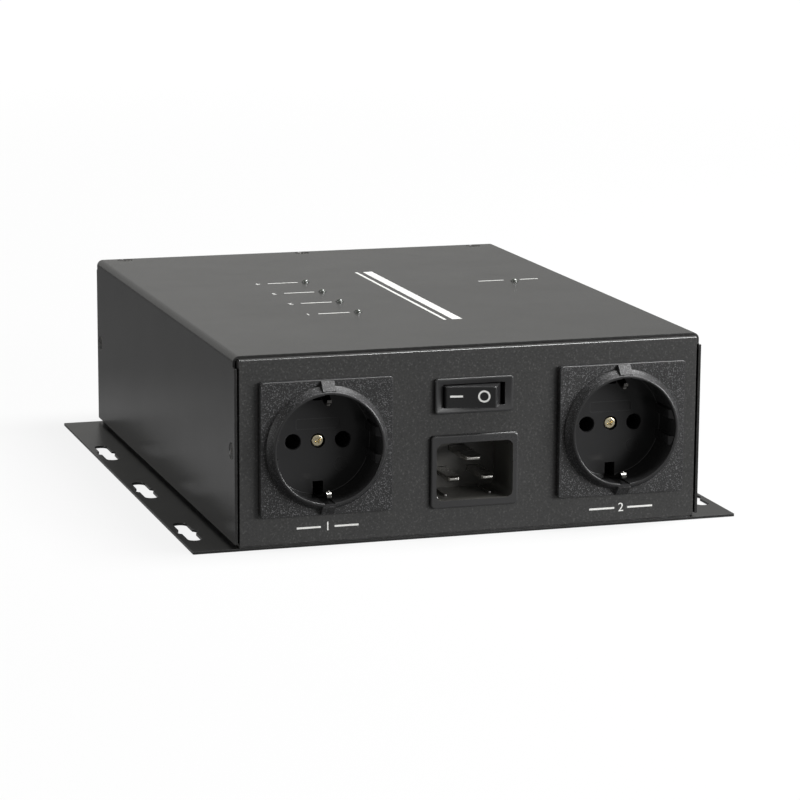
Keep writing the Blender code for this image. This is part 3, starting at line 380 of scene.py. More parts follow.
def twin(piece, name, move=(0, 0, 0), half_turns=0):
    """A copy of a piece with its own mesh, moved, and turned about the upright axis."""
    copy = piece.copy()
    copy.data = piece.data.copy()
    scene.collection.objects.link(copy)
    copy.name = copy.data.name = name
    return settle(copy, Matrix.Translation(move) @ rotation(180 * half_turns, "Z"))


def fit(piece, finish, nodes, body="unit"):
    """Gives a piece its finish and its body, and lets it stand for its solids."""
    piece.data.materials.clear()
    piece.data.materials.append(finish)
    if nodes:
        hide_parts(*nodes)
    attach(piece, body)


def start_group(name, inputs, outputs):
    """A shader node group that takes a place and numbers, and gives numbers."""
    group = bpy.data.node_groups.new(name, "ShaderNodeTree")
    group.interface.new_socket(name="Place", in_out="INPUT", socket_type="NodeSocketVector")
    for label, value in inputs.items():
        socket = group.interface.new_socket(name=label, in_out="INPUT", socket_type="NodeSocketFloat")
        socket.default_value = value
    for label in outputs:
        group.interface.new_socket(name=label, in_out="OUTPUT", socket_type="NodeSocketFloat")
    given = group.nodes.new("NodeGroupInput").outputs
    return group, given, group.nodes.new("NodeGroupOutput"), given["Place"]


def link_all(tree, node, sources):
    """Links outputs to a node's inputs by name."""
    for label, source in sources.items():
        tree.links.new(source, node.inputs[label])


def noise(tree, place, scale, detail, roughness):
    """The value of a noise pattern of some size."""
    inputs = {"Vector": place, "Scale": scale, "Detail": detail, "Roughness": roughness}
    return add_node(tree, "TexNoise", inputs).outputs["Fac"]


# Grain of a sprayed or moulded surface: pits and bumps of one size, with painted glints on the specks at the
# bumps' tops and painted shade in the pits
grain_group, given, result, place = start_group(
    "surface_grain", {"Grains per metre": 2500.0, "Speck share": 0.3}, ("Height", "Glint specks", "Pit shade", "Cloud"),
)
fine = noise(grain_group, place, given["Grains per metre"], 2.5, 0.6)
cells = add_node(
    grain_group, "TexVoronoi", {"Vector": place, "Scale": given["Grains per metre"], "Smoothness": 0.6},
    feature="SMOOTH_F1",
)
threshold = math_node(grain_group, "MULTIPLY_ADD", given["Speck share"], -0.35, 0.72)
over = math_node(grain_group, "SUBTRACT", fine, threshold)
cloud = noise(grain_group, place, 22.0, 3.0, 0.55)
link_all(grain_group, result, {
    "Height": math_node(grain_group, "MULTIPLY_ADD", cells.outputs["Distance"], -0.5, fine),
    "Glint specks": spread(grain_group, over, 0.0, 0.09),
    "Pit shade": spread(grain_group, fine, 0.46, 0.34),
    "Cloud": spread(grain_group, cloud, 0.3, 0.7),
})

# Edges: where a surface rounded off by some width leaves the real one. Wear is that edge broken up by noise;
# Edge is the whole edge, which some finishes lighten as a painted highlight.
wear_and_sheen_group, given, result, place = start_group(
    "edge_wear_and_sheen", {"Width": 0.0005, "Patches per metre": 400.0}, ("Wear", "Edge"),
)
rounded = add_node(wear_and_sheen_group, "Bevel", {"Radius": given["Width"]}, samples=4)
shape = add_node(wear_and_sheen_group, "NewGeometry")
along = add_node(
    wear_and_sheen_group, "VectorMath",
    {0: rounded.outputs["Normal"], 1: shape.outputs["Normal"]}, operation="DOT_PRODUCT",
)
edge = spread(wear_and_sheen_group, along.outputs["Value"], 0.995, 0.90)
patches = noise(wear_and_sheen_group, place, given["Patches per metre"], 3.0, 0.6)
wear = times(wear_and_sheen_group, edge, spread(wear_and_sheen_group, patches, 0.45, 0.62))
link_all(wear_and_sheen_group, result, {"Wear": wear, "Edge": edge})

# Handling: faint cloudy marks and fine dust that change how a surface shines
marks_group, given, result, place = start_group(
    "handling_marks", {"Roughness": 0.5, "Change": 0.08}, ("Roughness",),
)
broad = noise(marks_group, place, 35.0, 4.0, 0.6)
near = noise(marks_group, place, 900.0, 2.0, 0.5)
mixed = math_node(marks_group, "MULTIPLY_ADD", near, 0.35, broad)
swing = spread(marks_group, mixed, 0.45, 0.9, -1.0, 1.0)
changed = math_node(marks_group, "MULTIPLY_ADD", swing, given["Change"], given["Roughness"])
link_all(marks_group, result, {"Roughness": changed})


def use_group(tree, group, *values):
    """The outputs of a group placed in a material, with its inputs' values in order."""
    return add_node(tree, "Group", dict(enumerate(values)), node_tree=group).outputs


def start_finish(name, **shader_values):
    """A material with its Principled shader's plain values set, its tree and the place on the piece."""
    made = bpy.data.materials.new(name)
    made.use_nodes = True
    tree = made.node_tree
    shader = tree.nodes["Principled BSDF"]
    for label, value in shader_values.items():
        shader.inputs[label.replace("_", " ")].default_value = value
    return made, tree, shader, add_node(tree, "TexCoord").outputs["Object"]


def link_finish(tree, shader, place, tone, roughness, change, height=None, depth=0.0, strength=1.0):
    """Gives a shader its tone, its roughness with handling marks and, with a height, its bump."""
    marks = use_group(tree, marks_group, place, roughness, change)
    link_all(tree, shader, {"Base Color": tone, "Roughness": marks["Roughness"]})
    if height is not None:
        bump = add_node(tree, "Bump", {"Strength": strength, "Distance": depth, "Height": height})
        link_all(tree, shader, {"Normal": bump.outputs["Normal"]})


def grained_finish(
    name, colour, speck, roughness, grains, depth, specks, specular=0.5, worn_and_sheen_tone=None, wear=0.0, edges=0.0,
    recess=None,
):
    """A matt coat or moulded plastic: grained, with painted glints on the grain's tops and painted shade in
    its pits, cloudy marks, slight wear on its edges and, by the edges share, a painted highlight along every
    edge. A recess can take a lighter tone, partly painted light.
    """
    made, tree, shader, place = start_finish(name, Specular_IOR_Level=specular)
    grain = use_group(tree, grain_group, place, grains, specks)
    tone = blend(tree, grain["Cloud"], [c * 0.93 for c in colour], [c * 1.07 for c in colour])
    # Lighter specks on the grain's bumps are painted glints, and the darkened pits are painted shade.
    tone = blend(tree, times(tree, grain["Glint specks"], specks), tone, speck)
    pits = times(tree, grain["Pit shade"], specks)
    tone = blend(tree, pits, tone, [c * 0.4 for c in colour])
    if recess:
        inside = add_node(tree, "Attribute", attribute_name="recess").outputs["Fac"]
        tone = blend(tree, inside, tone, recess)
    # The edge tone goes on patchy wear and, by the edges share, along every edge as a painted highlight.
    if worn_and_sheen_tone:
        wear_and_sheen = use_group(tree, wear_and_sheen_group, place, 0.0004)
        share = times(tree, wear_and_sheen["Edge"], edges)
        share = math_node(tree, "MULTIPLY_ADD", wear_and_sheen["Wear"], wear, share, clamp=True)
        tone = blend(tree, share, tone, [worn_and_sheen_tone] * 3)
    link_finish(tree, shader, place, tone, roughness, 0.02, grain["Height"], depth)
    return made


plate = block("mounting_plate", PLATE_LOW, PLATE_HIGH)
round_edges(plate, upright, PLATE_CORNER, 6)
slots = []
for side in (-1, 1):
    for number, y in enumerate(SLOT_PLACES):
        x = side * SLOT_ACROSS
        low, high = -PLATE_HIGH.z, 2 * PLATE_HIGH.z
        slot = rod("slot", (x, y, low), (x, y, high), SLOT_HALF_WIDTH, sides=34)
        edit(slot)
        for end in (-1, 1):
            pick(slot, corners=lambda at: (at.y - y) * end > 0)
            shift(y=end * SLOT_REACH)
        done()
        slots.append(weld(slot, rod("slot_eye", (x, y, 1.5 * low), (x, y, 1.5 * high), SLOT_EYE)))
cut(plate, join(slots))
sinks = []
for screw in BASE_SCREWS:
    x, y, z = middle_of(screw)
    foot, top = BASE_SINK_DEPTHS
    sinks.append(rod("sink", (x, y, foot), (x, y, top), *BASE_SINK_RADII))
cut(plate, join(sinks))
soften(plate, PLATE_EDGE)
# Every edge of the plate is lightened: a painted highlight, with patchy wear on top.
plate_coat = grained_finish(
    "plate_powder_coat", (0.010, 0.010, 0.010), (0.035, 0.035, 0.035), 0.30, 2600, 0.00002, 0.35, 0.45,
    worn_and_sheen_tone=0.11, wear=0.4, edges=0.4,
)
fit(plate, plate_coat, ["base_plate"])

# Chassis tray
# One bent steel sheet, powder-coated: the front panel, the floor and the rear panel, with lips
# under the cover and narrow flanges inside its sides that take the screws. Corners are relieved.
TRAY_LOW, TRAY_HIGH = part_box("chassis_tray")
TRAY_GROWTH = 0.00025
TRAY_HIGH.z += TRAY_GROWTH
TRAY_LOW.x -= TRAY_GROWTH
TRAY_HIGH.x += TRAY_GROWTH
TRAY_SHEET = 0.0012
TRAY_BEND = 0.0022
TRAY_NOTCH = 0.0005
TRAY_LIP = 0.014
TRAY_FLANGE = 0.012
TRAY_EDGE = 0.00012
FRONT = TRAY_LOW.y
REAR = TRAY_HIGH.y
OUTLETS = {
    "outlet_1": (-0.0561, 0.0369, False),
    "outlet_2": (0.0581, 0.0369, False),
    "outlet_3": (0.0581, 0.0369, True),
    "outlet_4": (-0.0561, 0.0369, True),
}
OUTLET_HOLE = 0.0213
INLET_MIDDLE = (0.0006, 0.02475)
INLET_HOLE = (0.0161, 0.0121)
SWITCH_MIDDLE = (0.0002, 0.0530)
SWITCH_HOLE = (0.0143, 0.0064)
HOLE_REACH = 0.003
SIDE_SCREWS = [name.replace("base", "side") for name in BASE_SCREWS]
TOP_SCREWS = [f"top_screw_{side}" for side in ("left", "middle", "right")]
SCREW_BORE = 0.0018
BORE_DEPTH = 0.006


def slice_at(axis, value):
    """In edit mode, cuts the faces of the open piece along a plane across one axis."""
    normal = [0, 0, 0]
    normal[axis] = 1
    place = [value * share for share in normal]
    bpy.ops.mesh.select_all(action="SELECT")
    bpy.ops.mesh.bisect(plane_co=place, plane_no=normal)


def bend_sheet(piece, open_faces, radius, steps, sheet):
    """Turns a box into a bent sheet: deletes its open faces, rounds its folds and thickens it inwards."""
    pick(piece, faces=open_faces)
    bpy.ops.mesh.delete(type="FACE")
    done()
    round_edges(piece, None, radius, steps)
    apply(piece, "SOLIDIFY", thickness=sheet, offset=-1, use_even_offset=True)


def screw_head(name):
    """The middle of a screw's head, on the outer face that it lies in, and its way out."""
    middle = middle_of(name)
    if name.startswith("side"):
        out = Vector((math.copysign(1, middle.x), 0, 0))
        middle.x = out.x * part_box("cover")[1].x
    elif name.startswith("top"):
        out = Vector((0, 0, 1))
        middle.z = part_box(name)[1].z
    else:
        out = Vector((0, 0, -1))
        middle.z = 0
    return middle, out


tray = block("panel_tray", TRAY_LOW, TRAY_HIGH)
edit(tray)
for side in (-1, 1):
    slice_at(0, side * (TRAY_HIGH.x - TRAY_NOTCH))
    slice_at(1, side * (REAR - TRAY_FLANGE))
    slice_at(1, side * (REAR - TRAY_LIP))
slice_at(2, TRAY_LOW.z + TRAY_NOTCH)
slice_at(2, TRAY_HIGH.z - TRAY_NOTCH)


def not_in_tray(middle, normal):
    """Whether a face of the box isn't part of the bent sheet: its open sides, windows and corners."""
    between = abs(middle.x) < TRAY_HIGH.x - TRAY_NOTCH
    upright = TRAY_LOW.z + TRAY_NOTCH < middle.z < TRAY_HIGH.z - TRAY_NOTCH
    if abs(normal.y) > 0.5:
        return not (between or upright)
    if abs(normal.x) > 0.5:
        return not (upright and abs(middle.y) > REAR - TRAY_FLANGE)
    return not (between and (normal.z < 0 or abs(middle.y) > REAR - TRAY_LIP))


bend_sheet(tray, not_in_tray, TRAY_BEND, 8, TRAY_SHEET)

openings = []
for x, z, rear in OUTLETS.values():
    y = REAR if rear else FRONT
    openings.append(rod("hole", (x, y - HOLE_REACH, z), (x, y + HOLE_REACH, z), OUTLET_HOLE, sides=64))
for (x, z), (half_width, half_height) in ((INLET_MIDDLE, INLET_HOLE), (SWITCH_MIDDLE, SWITCH_HOLE)):
    openings.append(block(
        "hole", (x - half_width, FRONT - HOLE_REACH, z - half_height),
        (x + half_width, FRONT + HOLE_REACH, z + half_height),
    ))
cut(tray, join(openings))
bores = []
for screw in SIDE_SCREWS + TOP_SCREWS + BASE_SCREWS:
    middle, out = screw_head(screw)
    bores.append(rod("bore", middle, middle - out * BORE_DEPTH, SCREW_BORE, sides=24))
cut(tray, join(bores))
soften(tray, TRAY_EDGE)
panel_coat = grained_finish(
    "panel_powder_coat", (0.034, 0.034, 0.0335), (0.11, 0.11, 0.107), 0.24, 1300, 0.000008, 0.40, 0.65,
    worn_and_sheen_tone=0.13, wear=0.4,
)
fit(tray, panel_coat, ["chassis_tray"])

# Cover
# The top and both sides in one bent steel sheet, powder-coated like the tray. It slides over the
# tray, with countersinks for its seven screws and round holes over the lamps.
COVER_LOW, COVER_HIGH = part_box("cover")
COVER_SHEET = 0.0010
COVER_BEND = 0.0025
COVER_EDGE = 0.00016
TOP_SET_BACK = {FRONT: 0.0022, REAR: 0.0008}
CORNER_RELIEF = 0.0042
LAMPS_SEEN = ["lamp_1", "lamp_2", "lamp_3", "lamp_4", "lamp_online"]
LAMP_HOLE = 0.0017
SINK_TOP = 0.0035
SINK_FOOT = 0.0019
SINK_OVER = 0.0003

cover = block("cover_sheet", COVER_LOW, COVER_HIGH)
edit(cover)
bend_sheet(
    cover, lambda at, normal: abs(normal.y) > 0.5 or normal.z < -0.5, COVER_BEND, 10, COVER_SHEET,
)
top_z = COVER_HIGH.z
for edge, set_back in TOP_SET_BACK.items():
    cut(cover, block(
        "top_edge", (COVER_LOW.x - 0.01, edge - set_back, top_z - CORNER_RELIEF),
        (COVER_HIGH.x + 0.01, edge + set_back, top_z + 0.01),
    ))
holes = []
for lamp in LAMPS_SEEN:
    x, y, z = middle_of(lamp)
    start, end = ((x, y, top_z + reach) for reach in (-HOLE_REACH, HOLE_REACH))
    holes.append(rod("lamp_hole", start, end, LAMP_HOLE))
for screw in SIDE_SCREWS + TOP_SCREWS:
    middle, out = screw_head(screw)
    start, end = middle + out * SINK_OVER, middle - out * (COVER_SHEET + SINK_OVER)
    holes.append(rod("sink", start, end, SINK_TOP, SINK_FOOT))
cut(cover, join(holes))
soften(cover, COVER_EDGE)
cover_coat = grained_finish(
    "cover_powder_coat", (0.016, 0.016, 0.0156), (0.060, 0.060, 0.058), 0.24, 2500, 0.00002, 0.35,
    worn_and_sheen_tone=0.13, wear=0.4,
)
fit(cover, cover_coat, ["cover"])

# Outlets
# Four earthed round outlets, moulded in black thermoplastic: a square flange with a spark-eroded
# face, a smooth round well with guide ribs, and the contact body behind the panel. Each is drawn
# here with Z out of the panel, then turned to face the front and copied to its places.
OUTLET_FACE = 0.0023
OUTLET_RIM = 0.0061
OUTLET_FLOOR = -0.0100
OUTLET_BACK = -0.0360
FLANGE_HALF = 0.0249
FLANGE_CORNER = 0.0012
BODY_RADIUS = 0.0210
RIM_RADIUS = 0.0209
WELL_RADIUS = 0.0199
RIM_EDGE = 0.00038
# The collar from the panel out: its radius and its rise, step by step
COLLAR_STEPS = (
    (0.0228, 0), (0.0228, 0.0016), (0.0223, 0.0007), (0.0217, 0.0010), (RIM_RADIUS, OUTLET_RIM - 0.0043),
)
RAMP_LOW = (-0.0024, 0.0195, 0.0009)
RAMP_HIGH = (0.0024, 0.0214, OUTLET_RIM - 0.0004)
RAMP_LENGTH = 0.0032
RIB_STARTS = (-0.0066, 0.0034)
RIB_WIDTH = 0.0032
RIB_REACH = (0.0180, 0.01964)
RIB_TOP = OUTLET_RIM - 0.0011
RIB_SLOPE = 0.0022
COLLAR_MATT = 1
EDGE_MATT = 0.3
PIN_ACROSS = 0.0095
PIN_RADIUS = 0.0028
PIN_DEPTH = 0.0205
PIN_FUNNEL = (0.0006, 1.2)
RECESS_RADIUS = 0.0028
RECESS_FLOOR = -0.0120
CLIP_SLOT = 0.0020
EARTH_SLOTS = ((-0.0202, -0.0150), (0.0150, 0.0202))
EJECTOR = (0.0087, -0.0090)
EJECTOR_RADII = (0.0025, 0.0021)
EJECTOR_DEPTH = 0.00015
FIELD_DEPTH = 0.00022


def cross_recess(half, low, high, foot_share):
    """The two arms of a cross recess, narrower at their feet."""
    arms = []
    for turn in range(2):
        arm = block("arm", (-half[0], -half[1], low), (half[0], half[1], high))
        edit(arm, faces=facing_down)
        widen(*foot_share)
        done()
        arms.append(settle(arm, rotation(90 * turn, "Z")))
    return arms


outlet = rod("outlet", (0, 0, OUTLET_BACK), (0, 0, 0.0010), BODY_RADIUS, sides=112)
edit(outlet, faces=facing_up)
radius = BODY_RADIUS
for next_radius, rise in COLLAR_STEPS:
    draw_out((0, 0, rise), next_radius / radius)
    radius = next_radius
done()
flange = block("flange", (-FLANGE_HALF, -FLANGE_HALF, 0.0003), (FLANGE_HALF, FLANGE_HALF, OUTLET_FACE))
round_edges(flange, upright, FLANGE_CORNER, 6)
round_edges(flange, lambda at, along: at.z > OUTLET_FACE - 0.0001, 0.0003, 3)
weld(outlet, flange)
for side in (-1, 1):
    ramp = block("ramp", RAMP_LOW, RAMP_HIGH)
    edit(ramp, faces=lambda at, normal: normal.y > 0.9)
    draw_out((0, RAMP_LENGTH, 0))
    pick(ramp, edges=lambda at, along: abs(along.x) > 0.9 and at.y > 0.022 and at.z > 0.004)
    shift(z=OUTLET_FACE - OUTLET_RIM + 0.0010)
    done()
    weld(outlet, settle(ramp, rotation(90 * (1 - side), "Z")))

well = rod("well", (0, 0, OUTLET_FLOOR), (0, 0, 2 * OUTLET_RIM), WELL_RADIUS, sides=112)
round_edges(well, lambda at, along: at.z < OUTLET_FLOOR + 0.0001, 0.0003, 2)
cut(outlet, well)
round_edges(
    outlet, lambda at, along: abs(at.z - OUTLET_RIM) < 0.00005
    and WELL_RADIUS - 0.0002 < at.xy.length < RIM_RADIUS + 0.0002, RIM_EDGE, 4,
)
ribs = []
for side in (-1, 1):
    for start in RIB_STARTS:
        low_x, high_x = sorted(side * x for x in RIB_REACH)
        rib = block("rib", (low_x, start, OUTLET_FLOOR - 0.0005), (high_x, start + RIB_WIDTH, RIB_TOP))
        edit(rib, corners=lambda at: at.z > 0 and abs(at.x) < 0.0185)
        shift(z=-RIB_SLOPE)
        done()
        ribs.append(round_edges(
            rib, lambda at, along: at.x * side < 0.0181 and abs(along.x) < 0.5, 0.00026, 3,
        ))
weld(outlet, join(ribs))
tools = [
    block("slot", (-CLIP_SLOT, start, OUTLET_BACK - 0.002), (CLIP_SLOT, end, 0.012))
    for start, end in EARTH_SLOTS
]
tools.append(rod("recess", (0, 0, RECESS_FLOOR), (0, 0, 0), RECESS_RADIUS, sides=48))
for side in (-1, 1):
    x = side * PIN_ACROSS
    foot, top = OUTLET_FLOOR - PIN_DEPTH, OUTLET_FLOOR - 0.0004
    hole = rod("pin_hole", (x, 0, foot), (x, 0, top), PIN_RADIUS, sides=48)
    edit(hole, faces=facing_up)
    draw_out((0, 0, PIN_FUNNEL[0]), PIN_FUNNEL[1], middle=(x, 0, 0))
    done()
    tools.append(hole)
cut(outlet, join(tools))
cut(outlet, rod("bore", (0, 0, -0.0237), (0, 0, 0), 0.00175, sides=32))
field = block("sunk_field", (-0.0082, 0.0045, OUTLET_FLOOR - FIELD_DEPTH), (0.0082, 0.0083, 0))
round_edges(field, upright, 0.0004, 3)
ring, core = (
    rod(name, (*EJECTOR, OUTLET_FLOOR - depth), (*EJECTOR, top), radius)
    for name, depth, top, radius in (
        ("ejector_mark", EJECTOR_DEPTH, 0, EJECTOR_RADII[0]),
        ("ejector_core", 0.001, 0.001, EJECTOR_RADII[1]),
    )
)
cut(ring, core)
cut(outlet, field, ring)
settle(outlet, rotation(90, "X"))
soften(outlet, 0.00012)

outlet_plastic, tree, shader, place = start_finish("outlet_moulding", Specular_IOR_Level=0.35)
eroded = add_node(tree, "Attribute", attribute_name="spark_eroded").outputs["Fac"]
grain = use_group(tree, grain_group, place, 2600, 0.45)
plain = blend(tree, grain["Cloud"], (0.0215, 0.0215, 0.0220), (0.0250, 0.0250, 0.0256))
# The light flecks on the eroded face are painted glints, and the darkened pits are painted shade.
flecks = times(tree, grain["Glint specks"], 0.8)
flecked = blend(tree, flecks, (0.0078, 0.0078, 0.0081), (0.15, 0.15, 0.155))
flecked = blend(tree, times(tree, grain["Pit shade"], 0.8), flecked, (0.003, 0.003, 0.003))
tone = blend(tree, eroded, plain, flecked)
# Every edge of the moulding is lightened a little: a painted highlight.
wear_and_sheen = use_group(tree, wear_and_sheen_group, place, 0.00035)
tone = blend(tree, times(tree, wear_and_sheen["Edge"], 0.22), tone, (0.12, 0.12, 0.12))
rough = math_node(tree, "MULTIPLY_ADD", eroded, 0.26, 0.22)
height = times(tree, grain["Height"], spread(tree, eroded, 0, 1, 0.12, 1))
link_finish(tree, shader, place, tone, rough, 0.04, height, 0.00007)

# Screw in the middle of an outlet: a yellow-passivated pan head with a cross recess
HEAD_SEAT = -0.0117
SHANK_RADIUS = 0.00145
HEAD_RADIUS = 0.0023
HEAD_HEIGHT = 0.0014
HEAD_SPIN = 28.648
head = rod("outlet_screw", (0, 0, HEAD_SEAT), (0, 0, 0), SHANK_RADIUS, sides=32)
edit(head, faces=facing_up)
draw_out((0, 0, 0), HEAD_RADIUS / SHANK_RADIUS)
draw_out((0, 0, HEAD_HEIGHT))
done()
round_edges(head, lambda at, along: at.z > HEAD_HEIGHT - 0.0001 and abs(along.z) < 0.1, 0.0006, 6)
arms = cross_recess((0.00155, 0.00040), 0.0003, 0.002, (0.35, 0.6))
for turn in range(2):
    line = block("line", (-0.0013, -0.00008, 0.0012), (0.0013, 0.00008, 0.002))
    arms.append(settle(line, rotation(90 * turn + 45, "Z")))
cut(head, *arms)
clean(head)
settle(head, rotation(90, "X") @ Matrix.Translation((0, 0, HEAD_SEAT)) @ rotation(HEAD_SPIN, "Z"))
shade(head, 30)


def metal_finish(name, colour, dull, roughness, worn_and_sheen_tone=None, wear=0.0):
    """A plated metal: cloudy tone, fine scratches and, where it rubs, bare edges."""
    made, tree, shader, place = start_finish(name, Metallic=1.0)
    cloud = noise(tree, place, 600.0, 3.0, 0.6)
    tone = blend(tree, spread(tree, cloud, 0.35, 0.65), dull, colour)
    if worn_and_sheen_tone:
        wear_and_sheen = use_group(tree, wear_and_sheen_group, place, 0.0003, 900)
        tone = blend(tree, times(tree, wear_and_sheen["Edge"], wear), tone, worn_and_sheen_tone)
    stretched = add_node(tree, "Mapping", {"Vector": place, "Scale": (1.0, 1.0, 7.0)})
    lines = noise(tree, stretched.outputs["Vector"], 2400.0, 2.0, 0.6)
    link_finish(tree, shader, place, tone, roughness, 0.05, lines, 0.00001, 0.4)
    return made


yellow_zinc = metal_finish("yellow_zinc", (0.88, 0.80, 0.58), (0.70, 0.61, 0.42), 0.24)

# Earth clip: a nickel-plated sprung strip, bent round behind the outlet, with a nose and a contact
# dimple above and below the well
CLIP_HALF = 0.0017
CLIP_SHEET = 0.0008
CLIP_PATH = (
    (0.0199, -0.0045), (0.0196, -0.0030), (0.0189, -0.0010), (0.0180, 0.0012), (0.0172, 0.0024),
    (0.01685, 0.0030), (0.0168, 0.0036), (0.0170, 0.0042), (0.0175, 0.0048), (0.0180, 0.0052),
)
CLIP_TAPER = 0.90
DIMPLE_REACH = (0.0165, 0.0155)
DIMPLE_HEIGHT = 0.0034
DIMPLE_RADIUS = 0.0011
strap_back = OUTLET_BACK - 0.0011
strap_face = strap_back + CLIP_SHEET
clip = block("earth_clip", (-CLIP_HALF, -WELL_RADIUS, strap_back), (CLIP_HALF, WELL_RADIUS, strap_face))
edit(clip)
slice_at(1, WELL_RADIUS - CLIP_SHEET)
slice_at(1, CLIP_SHEET - WELL_RADIUS)
for side in (-1, 1):
    pick(clip, faces=lambda at, normal: normal.z > 0.9 and at.y * side > WELL_RADIUS - CLIP_SHEET
         and at.z < 0)
    last_y, last_z = WELL_RADIUS, strap_face
    for y, z in CLIP_PATH:
        draw_out((0, side * (y - last_y), z - last_z), CLIP_TAPER if z > 0.001 else 1, 1)
        last_y, last_z = y, z
done()
for side in (-1, 1):
    start, end = ((0, side * y, DIMPLE_HEIGHT) for y in DIMPLE_REACH)
    dimple = rod("dimple", start, end, DIMPLE_RADIUS, sides=32)
    round_edges(dimple, lambda at, along: abs(at.y) < 0.0156 and at.y * side > 0, 0.0007, 5)
    weld(clip, dimple)
settle(clip, rotation(90, "X"))
soften(clip, 0.00025, steps=3, sharp=50)
# The clip's nickel is painted dark: painted shade for the dark well that it reflects.
nickel = metal_finish("nickel_painted_dark", (0.20, 0.195, 0.185), (0.10, 0.098, 0.092), 0.14)

for name, (x, z, rear) in OUTLETS.items():
    move = (x, REAR if rear else FRONT, z)
    turns = 1 if rear else 0
    copy = twin(outlet, f"{name}_moulding", move, turns)
    attribute = copy.data.attributes.new("spark_eroded", "FLOAT", "FACE")
    eroded = []
    for face in copy.data.polygons:
        corners = [copy.data.vertices[index].co for index in face.vertices]
        reach = [math.hypot(corner.x - x, corner.z - z) for corner in corners]
        out = min(abs(corner.y) for corner in corners) - abs(move[1])
        collar = COLLAR_MATT if min(reach) > RIM_RADIUS - 0.0001 else 0
        edge = out < OUTLET_FACE and 0.1 < abs(face.normal.y) < 0.97
        eroded.append(0 if out < 0.0001 else collar if max(reach) < 0.0230 else EDGE_MATT if edge else 1)
    attribute.data.foreach_set("value", eroded)
    fit(copy, outlet_plastic, [f"{name}_housing"])
    fit(twin(head, f"{name}_pan_screw", move, turns), yellow_zinc, [f"{name}_screw"])
    fit(twin(clip, f"{name}_spring_clip", move, turns), nickel, [f"{name}_earth_clip"])
for drawn in (outlet, head, clip):
    bpy.data.objects.remove(drawn, do_unlink=True)

# Mains inlet
# A 16 A appliance inlet pressed into the panel: a satin black moulding with a framed recess, and
# three flat nickel-plated blades. The earth blade stands above and in front of the live ones.
INLET_FACE = 0.0015
INLET_FRAME = (0.0170, 0.0137)
INLET_BODY = (0.0158, 0.0118)
INLET_MOUTH = (0.0148, 0.0108)
INLET_CORNER = 0.0025
INLET_DEPTH = 0.0200
INLET_END = 0.0240
BLADES = {
    "line": (-0.0065, -0.0038, 0.0025, -0.0024),
    "neutral": (0.0065, -0.0038, 0.0025, -0.0024),
    "earth": (0.0, 0.00425, 0.00315, 0.0003),
}
BLADE_HALF_THICKNESS = 0.0010
BLADE_ROOM = 0.0001
BLADE_TAIL = -0.0330
BLADE_POINT = ((0.0009, 0.78, 0.60), (0.0004, 0.85, 0.60))
# The keys on the recess's floor: their place across, their front end and their width
KEYS = ((-0.0133, -0.0030, 0.0010), (-0.0088, -0.0060, 0.0008), (0.0084, -0.0060, 0.0008))
KEY_BACK = -0.0190
KEY_FLOOR = -0.0112
KEY_TOP = -0.0101


def rounded_block(name, half, low, high, corner, steps=6):
    """A block about the Z axis with its upright edges rounded."""
    made = block(name, (-half[0], -half[1], low), (half[0], half[1], high))
    return round_edges(made, upright, corner, steps)


def face_panel(piece, middle):
    """Turns a piece drawn with Z out of the panel to face the front, and moves it to its place."""
    return settle(piece, Matrix.Translation((middle[0], FRONT, middle[1])) @ rotation(90, "X"))


inlet = rounded_block("inlet_moulding", INLET_BODY, -INLET_END, 0.0010, INLET_CORNER)
frame_rim = rounded_block("rim", INLET_FRAME, 0.0003, INLET_FACE, 0.0018)
round_edges(frame_rim, lambda at, along: at.z > INLET_FACE - 0.0001, 0.0007, 4)
weld(inlet, frame_rim)
cut(inlet, rounded_block("mouth", INLET_MOUTH, -INLET_DEPTH, 0.0040, INLET_CORNER, 8))
for x, front, wide in KEYS:
    weld(inlet, block("key", (x - wide / 2, KEY_FLOOR, KEY_BACK), (x + wide / 2, KEY_TOP, front)))
weld(inlet, block("key_foot", (-0.0136, KEY_FLOOR, KEY_BACK), (-0.0105, -0.0105, -0.0120)))
slots = []
for x, y, half_width, tip in BLADES.values():
    half_width, half_height = half_width + BLADE_ROOM, BLADE_HALF_THICKNESS + BLADE_ROOM
    slots.append(block(
        "slot", (x - half_width, y - half_height, -0.0260), (x + half_width, y + half_height, 0.0020),
    ))
cut(inlet, join(slots))
face_panel(inlet, INLET_MIDDLE)
soften(inlet, 0.00014)
# Faces inside the inlet's mouth take a lighter tone: partly a greyer moulding, partly painted light for the
# light that reaches the recess floor.
attribute = inlet.data.attributes.new("recess", "FLOAT", "FACE")
inside = []
for face in inlet.data.polygons:
    across, up = abs(face.center.x - INLET_MIDDLE[0]), abs(face.center.z - INLET_MIDDLE[1])
    mouth = across < INLET_MOUTH[0] + 0.0001 and up < INLET_MOUTH[1] + 0.0001
    inside.append(float(mouth and 0.0003 < face.center.y - FRONT < INLET_DEPTH + 0.0001))
attribute.data.foreach_set("value", inside)
inlet_satin = grained_finish(
    "inlet_satin_plastic", (0.028, 0.028, 0.0285), (0.08, 0.08, 0.08), 0.28, 2000, 0.000015, 0.2,
    worn_and_sheen_tone=0.12, wear=0.35, recess=(0.080, 0.078, 0.072),
)
fit(inlet, inlet_satin, ["inlet_housing"])

